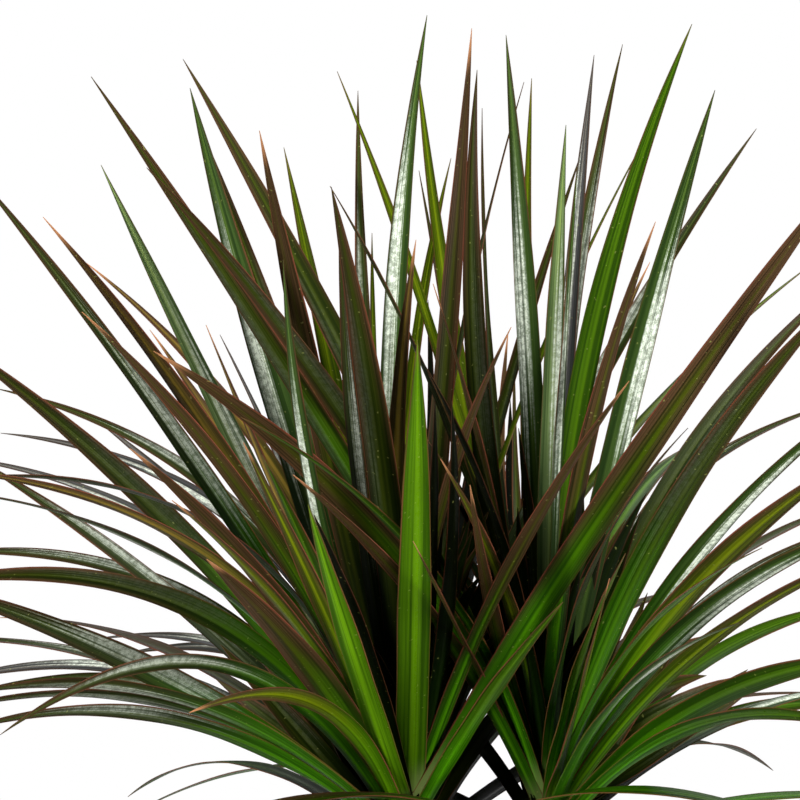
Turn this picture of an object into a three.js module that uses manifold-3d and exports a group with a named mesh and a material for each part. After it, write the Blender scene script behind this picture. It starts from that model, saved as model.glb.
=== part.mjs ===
// Dragon tree (Dracaena marginata) in a plain clay flower pot.
//
// Millimetres, +Z up, +Y away from the viewer. The origin is the middle of the pot's underside.
// Two woody canes stand in the soil. Each carries a head of long, pointed leaves.
// Most leaves are placed where they are seen: the tip and one point of the centre line are given
// as they lie in the picture, and the leaf's real length sets how far it leans forward or back.
// The rest follow the plant's own rule, a spiral in which older leaves sit lower and droop.

import * as THREE from 'three';
import { mergeVertices } from 'three/addons/utils/BufferGeometryUtils.js';
import Module from 'manifold-3d';

// ---- driving dimensions ----
const FIT_GAP = 0.3;              // clearance between pieces that touch
const POT_HEIGHT = 165;
const POT_BASE_RADIUS = 62;
const POT_TOP_RADIUS = 86;
const POT_WALL = 7;
const POT_FLOOR = 9;
const COLLAR_RADIUS = 95;
const COLLAR_HEIGHT = 32;
const DRAIN_HOLES = 4;
const DRAIN_HOLE_RADIUS = 6;
const DRAIN_HOLE_CIRCLE = 30;
const SOIL_TOP = 150;
const SOIL_MOUND = 5;             // the middle of the soil is this much higher than its edge
const CANE_HOLE_BOTTOM = 70;
const CANE_FOOT_X = 23;           // each cane stands this far from the pot's axis
const CANE_FOOT_RADIUS = 11;
const CANE_TOP_RADIUS = 9.5;
const CANE_SCAR_PITCH = 13;       // height of one ring of leaf scars
const CANE_SCAR_DEPTH = 0.5;
const HEAD_X = 42;                // each head's axis is this far from the pot's axis
const HEAD_Y = 8;                 // the left head stands in front by this much, the right one behind
const HEAD_BOTTOM = 285;
const HEAD_TOP = 362;
const HEAD_BOTTOM_RADIUS = 13;
const HEAD_TOP_RADIUS = 8;
const LEAF_LENGTH = 430;
const LEAF_CHORD = 0.97;          // straight root-to-tip distance over length along the leaf
const LEAF_THICKNESS = 1.6;
const LEAF_MIN_WIDTH = 11;
const LEAF_MAX_WIDTH = 22;
const LEAF_NECK = 0.42;           // width at the root over full width
const LEAF_WIDEST = 0.4;          // where along the leaf it is widest
const LEAF_TAPER = 2.2;           // how late the leaf narrows from there to its tip
const LEAF_SINK = 6;              // how deep a root is sunk in the growing tip
const LEAF_CLEARANCE = 2;         // air kept between two leaves of one head where they pass
const HEADS_CLEARANCE = 6;        // air kept between two leaves of different heads
const LEAF_LEAN_BOW = 0.42;       // share of the lean reached at the curve's control point

// ---- the picture: one pixel is PIXEL mm in the upright plane through PICTURE_CENTRE ----
const PIXEL = 0.6;
const PICTURE_MIDDLE = 400;
const PICTURE_CENTRE = new THREE.Vector3(-48, 0, 584);
const VIEW_DISTANCE = 2400;
const VIEW_ELEVATION = THREE.MathUtils.degToRad(8);

const LEFT = 0;
const RIGHT = 1;
const FRONT = -1;
const BACK = 1;

const HEAD_AXES = [new THREE.Vector3(-HEAD_X, -HEAD_Y, 0), new THREE.Vector3(HEAD_X, HEAD_Y, 0)];
const VIEW = new THREE.Vector3(0, Math.cos(VIEW_ELEVATION), -Math.sin(VIEW_ELEVATION));
const VIEW_UP = new THREE.Vector3(0, Math.sin(VIEW_ELEVATION), Math.cos(VIEW_ELEVATION));
const VIEW_RIGHT = new THREE.Vector3(1, 0, 0);
const UP = new THREE.Vector3(0, 0, 1);

// Every row: head, tip in the picture, a point of the centre line in the picture, seen width in
// pixels, leaning towards the viewer (FRONT) or away (BACK), real length in mm.
// Tips off the picture's edge are carried on beyond it. Where leaves lie deep behind others too
// little shows of them, and about a dozen of the BACK rows are placed to fill those places.
const SEEN_LEAVES = [
  [LEFT, [190, 88], [256, 330], 30, FRONT, 483],
  [LEFT, [196, 118], [247, 250], 18, BACK, 488],
  [LEFT, [260, 130], [306, 350], 24, FRONT, 458],
  [LEFT, [283, 260], [297, 400], 15, FRONT, 458],
  [LEFT, [284, 147], [330, 365], 19, BACK, 458],
  [LEFT, [101, 165], [190, 349], 20, FRONT, 463],
  [LEFT, [43, 217], [167, 373], 18, FRONT, 458],
  [LEFT, [85, 262], [203, 373], 13, BACK, 458],
  [LEFT, [-30, 166], [152, 401], 18, FRONT, 513],
  [LEFT, [82, 312], [200, 437], 17, FRONT, 458],
  [LEFT, [206, 325], [243, 415], 8, FRONT, 388],
  [LEFT, [219, 335], [251, 402], 7, BACK, 388],
  [LEFT, [-60, 330], [150, 503], 25, FRONT, 458],
  [LEFT, [-5, 388], [196, 474], 14, BACK, 458],
  [LEFT, [0, 433], [200, 496], 13, BACK, 458],
  [LEFT, [-60, 455], [170, 530], 10, BACK, 458],
  [LEFT, [-40, 450], [190, 612], 16, BACK, 428],
  [LEFT, [-60, 480], [200, 520], 6, FRONT, 428],
  [LEFT, [-70, 470], [190, 545], 11, FRONT, 448],
  [LEFT, [-60, 490], [185, 568], 6, FRONT, 428],
  [LEFT, [130, 449], [221, 534], 20, FRONT, 428],
  [LEFT, [172, 500], [240, 560], 12, FRONT, 378],
  [LEFT, [-80, 556], [150, 579], 15, BACK, 458],
  [LEFT, [-100, 589], [200, 613], 22, FRONT, 458],
  [LEFT, [-90, 579], [150, 673], 28, FRONT, 458],
  [LEFT, [-90, 640], [155, 672], 8, BACK, 428],
  [LEFT, [-80, 690], [150, 674], 12, BACK, 428],
  [LEFT, [0, 735], [220, 666], 17, FRONT, 428],
  [LEFT, [90, 640], [256, 656], 9, BACK, 388],
  [LEFT, [120, 655], [290, 668], 14, BACK, 388],
  [LEFT, [-20, 690], [180, 690], 12, BACK, 428],
  [LEFT, [-60, 712], [150, 700], 12, FRONT, 428],
  [LEFT, [-60, 700], [110, 688], 14, FRONT, 440],
  [LEFT, [-40, 730], [120, 708], 16, FRONT, 440],
  [LEFT, [190, 712], [300, 696], 18, FRONT, 328],
  [LEFT, [213, 558], [300, 640], 30, FRONT, 368],
  [LEFT, [305, 505], [338, 630], 22, FRONT, 378],
  [LEFT, [312, 515], [362, 650], 16, FRONT, 338],
  [LEFT, [241, 443], [300, 570], 17, FRONT, 418],
  [LEFT, [262, 455], [305, 545], 16, FRONT, 388],
  [LEFT, [333, 187], [380, 440], 30, FRONT, 458],
  [LEFT, [341, 218], [356, 400], 15, FRONT, 418],
  [LEFT, [357, 90], [362, 330], 15, BACK, 488],
  [LEFT, [427, 15], [393, 350], 22, FRONT, 513],
  [LEFT, [414, 240], [394, 400], 18, FRONT, 408],
  [LEFT, [451, 158], [418, 330], 13, BACK, 448],
  [LEFT, [418, 340], [416, 600], 31, FRONT, 448],
  [LEFT, [472, 28], [452, 290], 20, BACK, 503],
  [LEFT, [372, 233], [373, 340], 9, BACK, 408],
  [LEFT, [524, 82], [484, 235], 4, BACK, 488],
  [LEFT, [583, 150], [532, 310], 12, BACK, 468],
  [LEFT, [646, 138], [583, 262], 5, BACK, 478],
  [LEFT, [756, 129], [633, 316], 17, BACK, 518],
  [LEFT, [851, 165], [602, 510], 28, FRONT, 528],
  [LEFT, [682, 428], [600, 530], 12, BACK, 428],
  [LEFT, [815, 262], [670, 390], 7, BACK, 488],
  [LEFT, [563, 602], [510, 668], 16, FRONT, 328],
  [LEFT, [630, 382], [535, 525], 14, FRONT, 428],
  [LEFT, [512, 327], [474, 415], 12, FRONT, 378],
  [LEFT, [435, 398], [436, 460], 13, FRONT, 358],
  [LEFT, [449, 400], [446, 560], 14, FRONT, 368],
  [LEFT, [470, 487], [463, 600], 12, BACK, 328],
  [LEFT, [492, 372], [470, 490], 16, BACK, 398],
  [LEFT, [509, 455], [492, 505], 5, BACK, 358],
  [LEFT, [478, 420], [458, 560], 14, BACK, 388],
  [LEFT, [432, 440], [428, 580], 14, BACK, 358],
  [LEFT, [90, 415], [215, 525], 14, BACK, 428],
  [LEFT, [150, 330], [235, 455], 14, BACK, 428],
  [LEFT, [428, 300], [432, 440], 12, BACK, 428],
  [RIGHT, [92, 77], [190, 220], 20, FRONT, 563],
  [RIGHT, [146, 168], [300, 355], 22, FRONT, 518],
  [RIGHT, [184, 60], [263, 198], 24, BACK, 548],
  [RIGHT, [152, 350], [322, 485], 28, FRONT, 458],
  [RIGHT, [240, 420], [375, 512], 8, FRONT, 418],
  [RIGHT, [338, 72], [395, 220], 11, BACK, 508],
  [RIGHT, [477, 70], [475, 350], 22, FRONT, 478],
  [RIGHT, [417, 60], [438, 230], 17, BACK, 508],
  [RIGHT, [419, 170], [432, 240], 10, BACK, 458],
  [RIGHT, [330, 186], [402, 320], 5, FRONT, 458],
  [RIGHT, [481, 108], [482, 250], 6, BACK, 468],
  [RIGHT, [506, 35], [525, 290], 22, FRONT, 498],
  [RIGHT, [532, 78], [527, 230], 14, BACK, 488],
  [RIGHT, [566, 125], [554, 350], 20, FRONT, 458],
  [RIGHT, [594, 55], [570, 300], 17, BACK, 483],
  [RIGHT, [577, 168], [569, 280], 8, FRONT, 448],
  [RIGHT, [622, 45], [581, 250], 16, BACK, 498],
  [RIGHT, [692, 24], [603, 290], 24, FRONT, 518],
  [RIGHT, [715, 90], [641, 351], 26, FRONT, 483],
  [RIGHT, [655, 222], [600, 390], 17, FRONT, 458],
  [RIGHT, [860, 264], [692, 449], 18, BACK, 458],
  [RIGHT, [850, 285], [685, 490], 26, FRONT, 458],
  [RIGHT, [688, 428], [630, 500], 5, FRONT, 378],
  [RIGHT, [850, 399], [650, 511], 11, BACK, 428],
  [RIGHT, [880, 386], [672, 587], 18, FRONT, 458],
  [RIGHT, [870, 447], [702, 579], 26, FRONT, 438],
  [RIGHT, [880, 495], [710, 575], 8, BACK, 428],
  [RIGHT, [762, 548], [665, 612], 8, FRONT, 408],
  [RIGHT, [880, 521], [702, 616], 22, FRONT, 458],
  [RIGHT, [860, 535], [720, 600], 8, FRONT, 428],
  [RIGHT, [880, 548], [700, 647], 16, FRONT, 448],
  [RIGHT, [742, 622], [640, 678], 10, FRONT, 368],
  [RIGHT, [910, 656], [722, 695], 26, FRONT, 458],
  [RIGHT, [900, 705], [750, 708], 16, BACK, 458],
  [RIGHT, [880, 738], [740, 716], 16, FRONT, 440],
  [RIGHT, [626, 555], [600, 610], 9, FRONT, 348],
  [RIGHT, [609, 577], [592, 645], 4, FRONT, 328],
  [RIGHT, [440, 458], [475, 522], 12, FRONT, 378],
  [RIGHT, [293, 475], [405, 585], 15, FRONT, 428],
  [RIGHT, [413, 541], [445, 605], 5, FRONT, 348],
  [RIGHT, [433, 285], [462, 380], 5, FRONT, 408],
  [RIGHT, [423, 362], [452, 418], 8, FRONT, 378],
  [RIGHT, [474, 430], [487, 505], 10, BACK, 378],
  [RIGHT, [470, 485], [488, 590], 14, FRONT, 358],
  [RIGHT, [509, 400], [511, 540], 20, BACK, 418],
  [RIGHT, [512, 360], [513, 470], 9, BACK, 428],
  [RIGHT, [530, 420], [532, 550], 14, BACK, 408],
  [RIGHT, [497, 440], [505, 580], 14, BACK, 388],
  [RIGHT, [545, 450], [545, 580], 14, BACK, 388],
  [RIGHT, [455, 430], [490, 560], 12, BACK, 418],
  [RIGHT, [742, 392], [655, 490], 20, BACK, 428],
  [RIGHT, [870, 520], [740, 580], 14, BACK, 448],
  [RIGHT, [880, 600], [740, 640], 14, BACK, 438],
  [RIGHT, [508, 332], [500, 440], 12, BACK, 408],
  [RIGHT, [650, 262], [603, 370], 12, BACK, 448],
];

// The spiral of leaves under and behind the seen ones, for each head.
const SPIRAL_LEAVES = 26;
const SPIRAL_SEED = 7;
const SPIRAL_TURN = 77;           // degrees by which the right head's spiral starts later
const GOLDEN_ANGLE = 137.508;
const SPIRAL_HIGHEST_SIDE = 2;    // degrees above level of the youngest leaf at the sides and front
const SPIRAL_HIGHEST_BACK = 30;
const SPIRAL_LOWEST = -36;
const SPIRAL_ARCH = 28;           // degrees by which a leaf leaves the cane steeper than its chord
const KEEP_OFF_OTHER_HEAD = 42;   // degrees kept clear on both sides of the direction to the other head
const SPEARS = 5;                 // short upright leaves in the middle of each head

// ---- small helpers ----

// Seeded random numbers from 0 to 1, by 32-bit whole-number steps.
function makeRandom(seed) {
  let state = seed >>> 0;
  return () => {
    state = (state + 0x6d2b79f5) >>> 0;
    let mixed = Math.imul(state ^ (state >>> 15), state | 1);
    mixed ^= mixed + Math.imul(mixed ^ (mixed >>> 7), mixed | 61);
    return ((mixed ^ (mixed >>> 14)) >>> 0) / 4294967296;
  };
}

function smoothStep(value) {
  const t = Math.min(1, Math.max(0, value));
  return t * t * (3 - 2 * t);
}

// The point seen at (right, up) mm in the picture plane, moved back by depth mm.
function fromPicture(right, up, depth) {
  const spread = 1 + depth / VIEW_DISTANCE;
  return PICTURE_CENTRE.clone()
    .addScaledVector(VIEW_RIGHT, right * spread)
    .addScaledVector(VIEW_UP, up * spread)
    .addScaledVector(VIEW, depth);
}

// Where a point is seen: right and up in mm in the picture plane, and its depth behind that plane.
function toPicture(point) {
  const offset = point.clone().sub(PICTURE_CENTRE);
  const depth = offset.dot(VIEW);
  const spread = 1 + depth / VIEW_DISTANCE;
  return { right: offset.dot(VIEW_RIGHT) / spread, up: offset.dot(VIEW_UP) / spread, depth };
}

function pixelToPlane([x, y]) {
  return { right: (x - PICTURE_MIDDLE) * PIXEL, up: (PICTURE_MIDDLE - y) * PIXEL };
}

function headRadius(z) {
  const share = (z - HEAD_BOTTOM) / (HEAD_TOP - HEAD_BOTTOM);
  return HEAD_BOTTOM_RADIUS + (HEAD_TOP_RADIUS - HEAD_BOTTOM_RADIUS) * share;
}

// ---- leaves: where each one runs ----

// Depth at which a tip seen at `seen` is `reach` mm from `root`, in front of it or behind.
function tipDepth(seen, root, reach, side) {
  const flat = fromPicture(seen.right, seen.up, 0).sub(root);
  const slope = VIEW.clone()
    .addScaledVector(VIEW_RIGHT, seen.right / VIEW_DISTANCE)
    .addScaledVector(VIEW_UP, seen.up / VIEW_DISTANCE);
  const a = slope.dot(slope);
  const b = flat.dot(slope);
  const c = flat.dot(flat) - reach * reach;
  const root2 = b * b - a * c;
  return root2 <= 0 ? -b / a : (-b + side * Math.sqrt(root2)) / a;
}

function seenLeaf([head, tipPixel, middlePixel, seenWidth, side, length]) {
  const axis = HEAD_AXES[head];
  const heart = new THREE.Vector3(axis.x, axis.y, (HEAD_BOTTOM + HEAD_TOP) / 2);
  const seenTip = pixelToPlane(tipPixel);
  const depth = tipDepth(seenTip, heart, length * LEAF_CHORD, side);
  const tip = fromPicture(seenTip.right, seenTip.up, depth);
  const scale = 1 + depth / 2 / VIEW_DISTANCE;
  const seen = seenWidth * PIXEL * scale;
  const width = Math.min(LEAF_MAX_WIDTH, Math.max(LEAF_MIN_WIDTH, seen * 1.15));
  return { head, tip, middlePixel, width, face: Math.min(1, seen / width) };
}

// Direction at an azimuth (0 is +X, 90 is away from the viewer) and a height above level, in degrees.
function direction(azimuth, elevation) {
  const a = THREE.MathUtils.degToRad(azimuth);
  const e = THREE.MathUtils.degToRad(elevation);
  return new THREE.Vector3(Math.cos(a) * Math.cos(e), Math.sin(a) * Math.cos(e), Math.sin(e));
}

function ruleLeaf(head, azimuth, elevation, length, width) {
  const axis = HEAD_AXES[head];
  const heart = new THREE.Vector3(axis.x, axis.y, (HEAD_BOTTOM + HEAD_TOP) / 2);
  const tip = heart.clone().addScaledVector(direction(azimuth, elevation), length * LEAF_CHORD);
  const arch = Math.min(85, elevation + SPIRAL_ARCH);
  return { head, tip, azimuth, arch, length, width, face: 0 };
}

// Turns an azimuth away from the direction to the other head.
function keepOff(head, azimuth) {
  const towards = head === LEFT ? 0 : 180;
  const off = ((azimuth - towards + 540) % 360) - 180;
  if (Math.abs(off) >= KEEP_OFF_OTHER_HEAD) return azimuth;
  return towards + (off < 0 ? -KEEP_OFF_OTHER_HEAD : KEEP_OFF_OTHER_HEAD);
}

function spiralLeaves(head, random) {
  const leaves = [];
  for (let k = 0; k < SPIRAL_LEAVES; k += 1) {
    const azimuth = keepOff(head, (k * GOLDEN_ANGLE + SPIRAL_TURN * head + 14 * (random() - 0.5)) % 360);
    const behind = Math.max(0, Math.sin(THREE.MathUtils.degToRad(azimuth)));
    const highest = SPIRAL_HIGHEST_SIDE
      + (SPIRAL_HIGHEST_BACK - SPIRAL_HIGHEST_SIDE) * behind * behind;
    const age = k / (SPIRAL_LEAVES - 1);
    const elevation = highest + (SPIRAL_LOWEST - highest) * age + 5 * (random() - 0.5);
    leaves.push(ruleLeaf(head, azimuth, elevation, 350 + 90 * random(), 12 + 6 * random()));
  }
  return leaves;
}

function spearLeaves(head, random) {
  const leaves = [];
  for (let k = 0; k < SPEARS; k += 1) {
    const azimuth = (k * GOLDEN_ANGLE + 30 + 20 * random()) % 360;
    leaves.push(ruleLeaf(head, azimuth, 64 + 18 * random(), 190 + 80 * random(), 9 + 3 * random()));
  }
  return leaves;
}

// Gives every leaf of a head its root: the steeper a leaf stands, the higher and younger it is.
function plantLeaves(leaves, head) {
  const axis = HEAD_AXES[head];
  const steepness = (leaf) => {
    const across = Math.hypot(leaf.tip.x - axis.x, leaf.tip.y - axis.y);
    return Math.atan2(leaf.tip.z - HEAD_BOTTOM, across);
  };
  const ranked = leaves.filter((leaf) => leaf.head === head);
  ranked.sort((p, q) => steepness(p) - steepness(q));
  const lowest = HEAD_BOTTOM + 5;
  const highest = HEAD_TOP - 5;
  ranked.forEach((leaf, rank) => {
    const z = lowest + (highest - lowest) * (rank / (ranked.length - 1));
    const azimuth = Math.atan2(leaf.tip.y - axis.y, leaf.tip.x - axis.x);
    const radius = Math.max(0.5, headRadius(z) - LEAF_SINK);
    leaf.root = new THREE.Vector3(
      axis.x + radius * Math.cos(azimuth),
      axis.y + radius * Math.sin(azimuth),
      z,
    );
  });
}

// Sets the middle control point of the leaf's curve, from the picture or from the arch.
function bendLeaf(leaf) {
  if (!leaf.middlePixel) {
    leaf.bend = leaf.root.clone()
      .addScaledVector(direction(leaf.azimuth, leaf.arch), leaf.length * 0.5);
    return;
  }
  const root = toPicture(leaf.root);
  const tip = toPicture(leaf.tip);
  const middle = pixelToPlane(leaf.middlePixel);
  const below = Math.hypot(middle.right - root.right, middle.up - root.up);
  const above = Math.hypot(middle.right - tip.right, middle.up - tip.up);
  const t = below / (below + above);
  const control = (m, p, q) => (m - (1 - t) * (1 - t) * p - t * t * q) / (2 * t * (1 - t));
  const depth = root.depth + LEAF_LEAN_BOW * (tip.depth - root.depth);
  leaf.bend = fromPicture(
    control(middle.right, root.right, tip.right),
    control(middle.up, root.up, tip.up),
    depth,
  );
}

function leafPoint(leaf, t) {
  return new THREE.Vector3()
    .addScaledVector(leaf.root, (1 - t) * (1 - t))
    .addScaledVector(leaf.bend, 2 * t * (1 - t))
    .addScaledVector(leaf.tip, t * t);
}

function leafTangent(leaf, t) {
  return new THREE.Vector3()
    .addScaledVector(leaf.root, t - 1)
    .addScaledVector(leaf.bend, 1 - 2 * t)
    .addScaledVector(leaf.tip, t)
    .normalize();
}

function leafHalfWidth(leaf, t) {
  const neck = LEAF_NECK + (1 - LEAF_NECK) * smoothStep(t / LEAF_WIDEST);
  const taper = t <= LEAF_WIDEST ? 1 : 1 - ((t - LEAF_WIDEST) / (1 - LEAF_WIDEST)) ** LEAF_TAPER;
  return (leaf.width / 2) * neck * taper;
}

// The direction across the blade: level round the cane at the root, turned to the viewer further out.
function leafAcross(leaf, t) {
  const tangent = leafTangent(leaf, t);
  const outward = leaf.tip.clone().sub(leaf.root);
  const across = new THREE.Vector3(-outward.y, outward.x, 0);
  across.addScaledVector(tangent, -across.dot(tangent)).normalize();
  if (leaf.face === 0) return across;
  const facing = tangent.clone().cross(VIEW).normalize();
  const edgeOn = tangent.clone().cross(facing);
  if (!leaf.facingSign) {
    // the turn that stays nearest to level, chosen once so that the blade never flips over
    leaf.facingSign = facing.dot(across) < 0 ? -1 : 1;
    leaf.edgeSign = edgeOn.dot(across) < 0 ? -1 : 1;
  }
  const turned = facing.multiplyScalar(leaf.face * leaf.facingSign)
    .addScaledVector(edgeOn, leaf.edgeSign * Math.sqrt(1 - leaf.face * leaf.face));
  return across.lerp(turned, smoothStep(t / LEAF_WIDEST)).normalize();
}

// ---- leaves: bent clear of each other ----
const CLEAR_PASSES = 60;
const CLEAR_STEPS = 10;           // straight stretches that stand for each leaf here
const CLEAR_FROM = 3;             // stretches next to the root are left alone within one head
const SEEN_SLIDE = 0.1;           // share of a sideways push that a leaf placed in the picture takes

// Nearest points of two straight stretches, as shares of each.
function nearestShares(p, dp, q, dq) {
  const r = p.clone().sub(q);
  const a = dp.dot(dp);
  const e = dq.dot(dq);
  const b = dp.dot(dq);
  const c = dp.dot(r);
  const f = dq.dot(r);
  const det = a * e - b * b;
  const clamp = THREE.MathUtils.clamp;
  let s = det > 1e-9 ? clamp((b * f - c * e) / det, 0, 1) : 0.5;
  let u = (b * s + f) / e;
  if (u < 0 || u > 1) {
    u = clamp(u, 0, 1);
    s = clamp((b * u - c) / a, 0, 1);
  }
  return [s, u];
}

function traceLeaf(leaf) {
  leaf.points = [];
  leaf.sides = [];
  leaf.halves = [];
  for (let i = 0; i <= CLEAR_STEPS; i += 1) {
    leaf.points.push(leafPoint(leaf, i / CLEAR_STEPS));
    leaf.sides.push(leafAcross(leaf, i / CLEAR_STEPS));
    leaf.halves.push(leafHalfWidth(leaf, i / CLEAR_STEPS));
  }
  leaf.box = new THREE.Box3().setFromPoints(leaf.points).expandByScalar(LEAF_MAX_WIDTH / 2);
}

// The place where two leaves come closest to touching, and how much they lack in clearance there.
function worstMeeting(first, second) {
  const together = first.head === second.head;
  const from = together ? CLEAR_FROM : 1;
  const air = together ? LEAF_CLEARANCE : HEADS_CLEARANCE;
  let worst = null;
  for (let i = from; i < CLEAR_STEPS; i += 1) {
    const dp = first.points[i + 1].clone().sub(first.points[i]);
    for (let j = from; j < CLEAR_STEPS; j += 1) {
      if (first.points[i].distanceToSquared(second.points[j]) > 12000) continue;
      const dq = second.points[j + 1].clone().sub(second.points[j]);
      const [s, u] = nearestShares(first.points[i], dp, second.points[j], dq);
      const apart = first.points[i].clone().addScaledVector(dp, s)
        .sub(second.points[j]).addScaledVector(dq, -u);
      const distance = apart.length();
      if (distance < 1e-6) apart.copy(VIEW);
      apart.normalize();
      const reach = first.halves[i] * Math.abs(first.sides[i].dot(apart))
        + second.halves[j] * Math.abs(second.sides[j].dot(apart));
      const lack = reach + air - distance;
      if (lack > 0 && (worst === null || lack > worst.lack)) {
        worst = { lack, apart, s: (i + s) / CLEAR_STEPS, u: (j + u) / CLEAR_STEPS };
      }
    }
  }
  return worst;
}

function pushLeaf(leaf, t, apart, amount) {
  const atBend = 2 * t * (1 - t);
  const atTip = t * t;
  const share = amount / Math.max(0.3, atBend * atBend + atTip * atTip);
  const push = apart.clone();
  if (leaf.middlePixel) {
    const deep = apart.dot(VIEW);
    push.multiplyScalar(SEEN_SLIDE).addScaledVector(VIEW, (1 - SEEN_SLIDE) * deep);
  }
  leaf.bendPush.addScaledVector(push, share * atBend);
  leaf.tipPush.addScaledVector(push, share * atTip);
}

function clearLeaves(leaves) {
  for (let pass = 0; pass < CLEAR_PASSES; pass += 1) {
    for (const leaf of leaves) {
      traceLeaf(leaf);
      leaf.bendPush = new THREE.Vector3();
      leaf.tipPush = new THREE.Vector3();
    }
    for (let i = 0; i < leaves.length; i += 1) {
      for (let j = i + 1; j < leaves.length; j += 1) {
        if (!leaves[i].box.intersectsBox(leaves[j].box)) continue;
        const meeting = worstMeeting(leaves[i], leaves[j]);
        if (!meeting) continue;
        pushLeaf(leaves[i], meeting.s, meeting.apart, 0.35 * meeting.lack);
        pushLeaf(leaves[j], meeting.u, meeting.apart, -0.35 * meeting.lack);
      }
    }
    for (const leaf of leaves) {
      leaf.bend.add(leaf.bendPush);
      leaf.tip.add(leaf.tipPush);
    }
  }
}

function growLeaves() {
  const random = makeRandom(SPIRAL_SEED);
  const leaves = SEEN_LEAVES.map(seenLeaf);
  for (const head of [LEFT, RIGHT]) {
    leaves.push(...spiralLeaves(head, random), ...spearLeaves(head, random));
  }
  plantLeaves(leaves, LEFT);
  plantLeaves(leaves, RIGHT);
  leaves.forEach(bendLeaf);
  clearLeaves(leaves);
  return leaves;
}

// ---- leaves: the blade's solid ----
const BLADE_STATIONS = [0, 0.1, 0.24, 0.4, 0.56, 0.72, 0.87];

// A long blade of diamond section: two edges, a ridge above and one below, ending in a point.
function bladeGeometry(leaf) {
  const positions = [];
  for (const t of BLADE_STATIONS) {
    const point = leafPoint(leaf, t);
    const across = leafAcross(leaf, t);
    const normal = across.clone().cross(leafTangent(leaf, t)).normalize();
    const half = leafHalfWidth(leaf, t);
    positions.push(
      ...point.clone().addScaledVector(across, -half).toArray(),
      ...point.clone().addScaledVector(normal, LEAF_THICKNESS / 2).toArray(),
      ...point.clone().addScaledVector(across, half).toArray(),
      ...point.clone().addScaledVector(normal, -LEAF_THICKNESS / 2).toArray(),
    );
  }
  positions.push(...leaf.tip.toArray());
  const last = BLADE_STATIONS.length - 1;
  const tip = 4 * BLADE_STATIONS.length;
  const index = [0, 2, 1, 0, 3, 2];
  for (let ring = 0; ring < last; ring += 1) {
    const [left, top, right, under] = [0, 1, 2, 3].map((corner) => 4 * ring + corner);
    // both faces of each half are split along the same diagonal, so a twisted blade stays even
    index.push(left, top, top + 4, left, top + 4, left + 4);
    index.push(right, top + 4, top, right, right + 4, top + 4);
    index.push(right, under, under + 4, right, under + 4, right + 4);
    index.push(left, under + 4, under, left, left + 4, under + 4);
  }
  const end = 4 * last;
  index.push(end, end + 1, tip, end + 1, end + 2, tip, end + 2, end + 3, tip, end + 3, end, tip);
  const geometry = new THREE.BufferGeometry();
  geometry.setAttribute('position', new THREE.Float32BufferAttribute(positions, 3));
  geometry.setIndex(index);
  return geometry;
}

// ---- joining and cutting ----
const wasm = await Module();
wasm.setup();

function toSolid(geometry) {
  const bare = geometry.clone();
  bare.deleteAttribute('normal');
  bare.deleteAttribute('uv');
  const merged = mergeVertices(bare, 1e-4);
  return new wasm.Manifold(new wasm.Mesh({
    numProp: 3,
    vertProperties: new Float32Array(merged.attributes.position.array),
    triVerts: new Uint32Array(merged.index.array),
  }));
}

function toGeometry(solid) {
  const mesh = solid.getMesh();
  const geometry = new THREE.BufferGeometry();
  geometry.setAttribute('position', new THREE.BufferAttribute(mesh.vertProperties, 3));
  geometry.setIndex(new THREE.BufferAttribute(mesh.triVerts, 1));
  geometry.computeVertexNormals();
  return geometry;
}

// An upright cylinder or cone from z = bottom to z = top.
function upright(bottomRadius, topRadius, bottom, top, sides, x = 0, y = 0) {
  const geometry = new THREE.CylinderGeometry(topRadius, bottomRadius, top - bottom, sides);
  geometry.rotateX(Math.PI / 2);
  geometry.translate(x, y, (bottom + top) / 2);
  return geometry;
}

// A solid of revolution about Z, from its profile of [radius, height] points.
function revolved(profile, sides) {
  const points = profile.map(([radius, height]) => new THREE.Vector2(radius, height));
  return new THREE.LatheGeometry(points, sides).rotateX(Math.PI / 2);
}

// ---- pot and soil ----
const ROUND_SIDES = 36;

function potRadiusAt(z) {
  return POT_BASE_RADIUS + (POT_TOP_RADIUS - POT_BASE_RADIUS) * (z / POT_HEIGHT);
}

function potGeometry() {
  const collarBottom = POT_HEIGHT - COLLAR_HEIGHT;
  const body = toSolid(revolved([
    [0, 0],
    [POT_BASE_RADIUS - 2, 0],
    [POT_BASE_RADIUS, 2],
    [potRadiusAt(collarBottom), collarBottom],
    [COLLAR_RADIUS - 2, collarBottom + 1],
    [COLLAR_RADIUS - 1, collarBottom + 3],
    [COLLAR_RADIUS, POT_HEIGHT - 2],
    [COLLAR_RADIUS - 2, POT_HEIGHT],
    [potRadiusAt(POT_HEIGHT) - POT_WALL + 2, POT_HEIGHT],
    [potRadiusAt(POT_HEIGHT) - POT_WALL, POT_HEIGHT - 2],
    [potRadiusAt(POT_FLOOR) - POT_WALL, POT_FLOOR],
    [0, POT_FLOOR],
  ], ROUND_SIDES));
  let pot = body;
  for (let k = 0; k < DRAIN_HOLES; k += 1) {
    const angle = (2 * Math.PI * (k + 0.5)) / DRAIN_HOLES;
    const x = DRAIN_HOLE_CIRCLE * Math.cos(angle);
    const y = DRAIN_HOLE_CIRCLE * Math.sin(angle);
    const drill = upright(DRAIN_HOLE_RADIUS, DRAIN_HOLE_RADIUS, -1, POT_FLOOR + 1, 20, x, y);
    pot = pot.subtract(toSolid(drill));
  }
  return toGeometry(pot);
}

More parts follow.
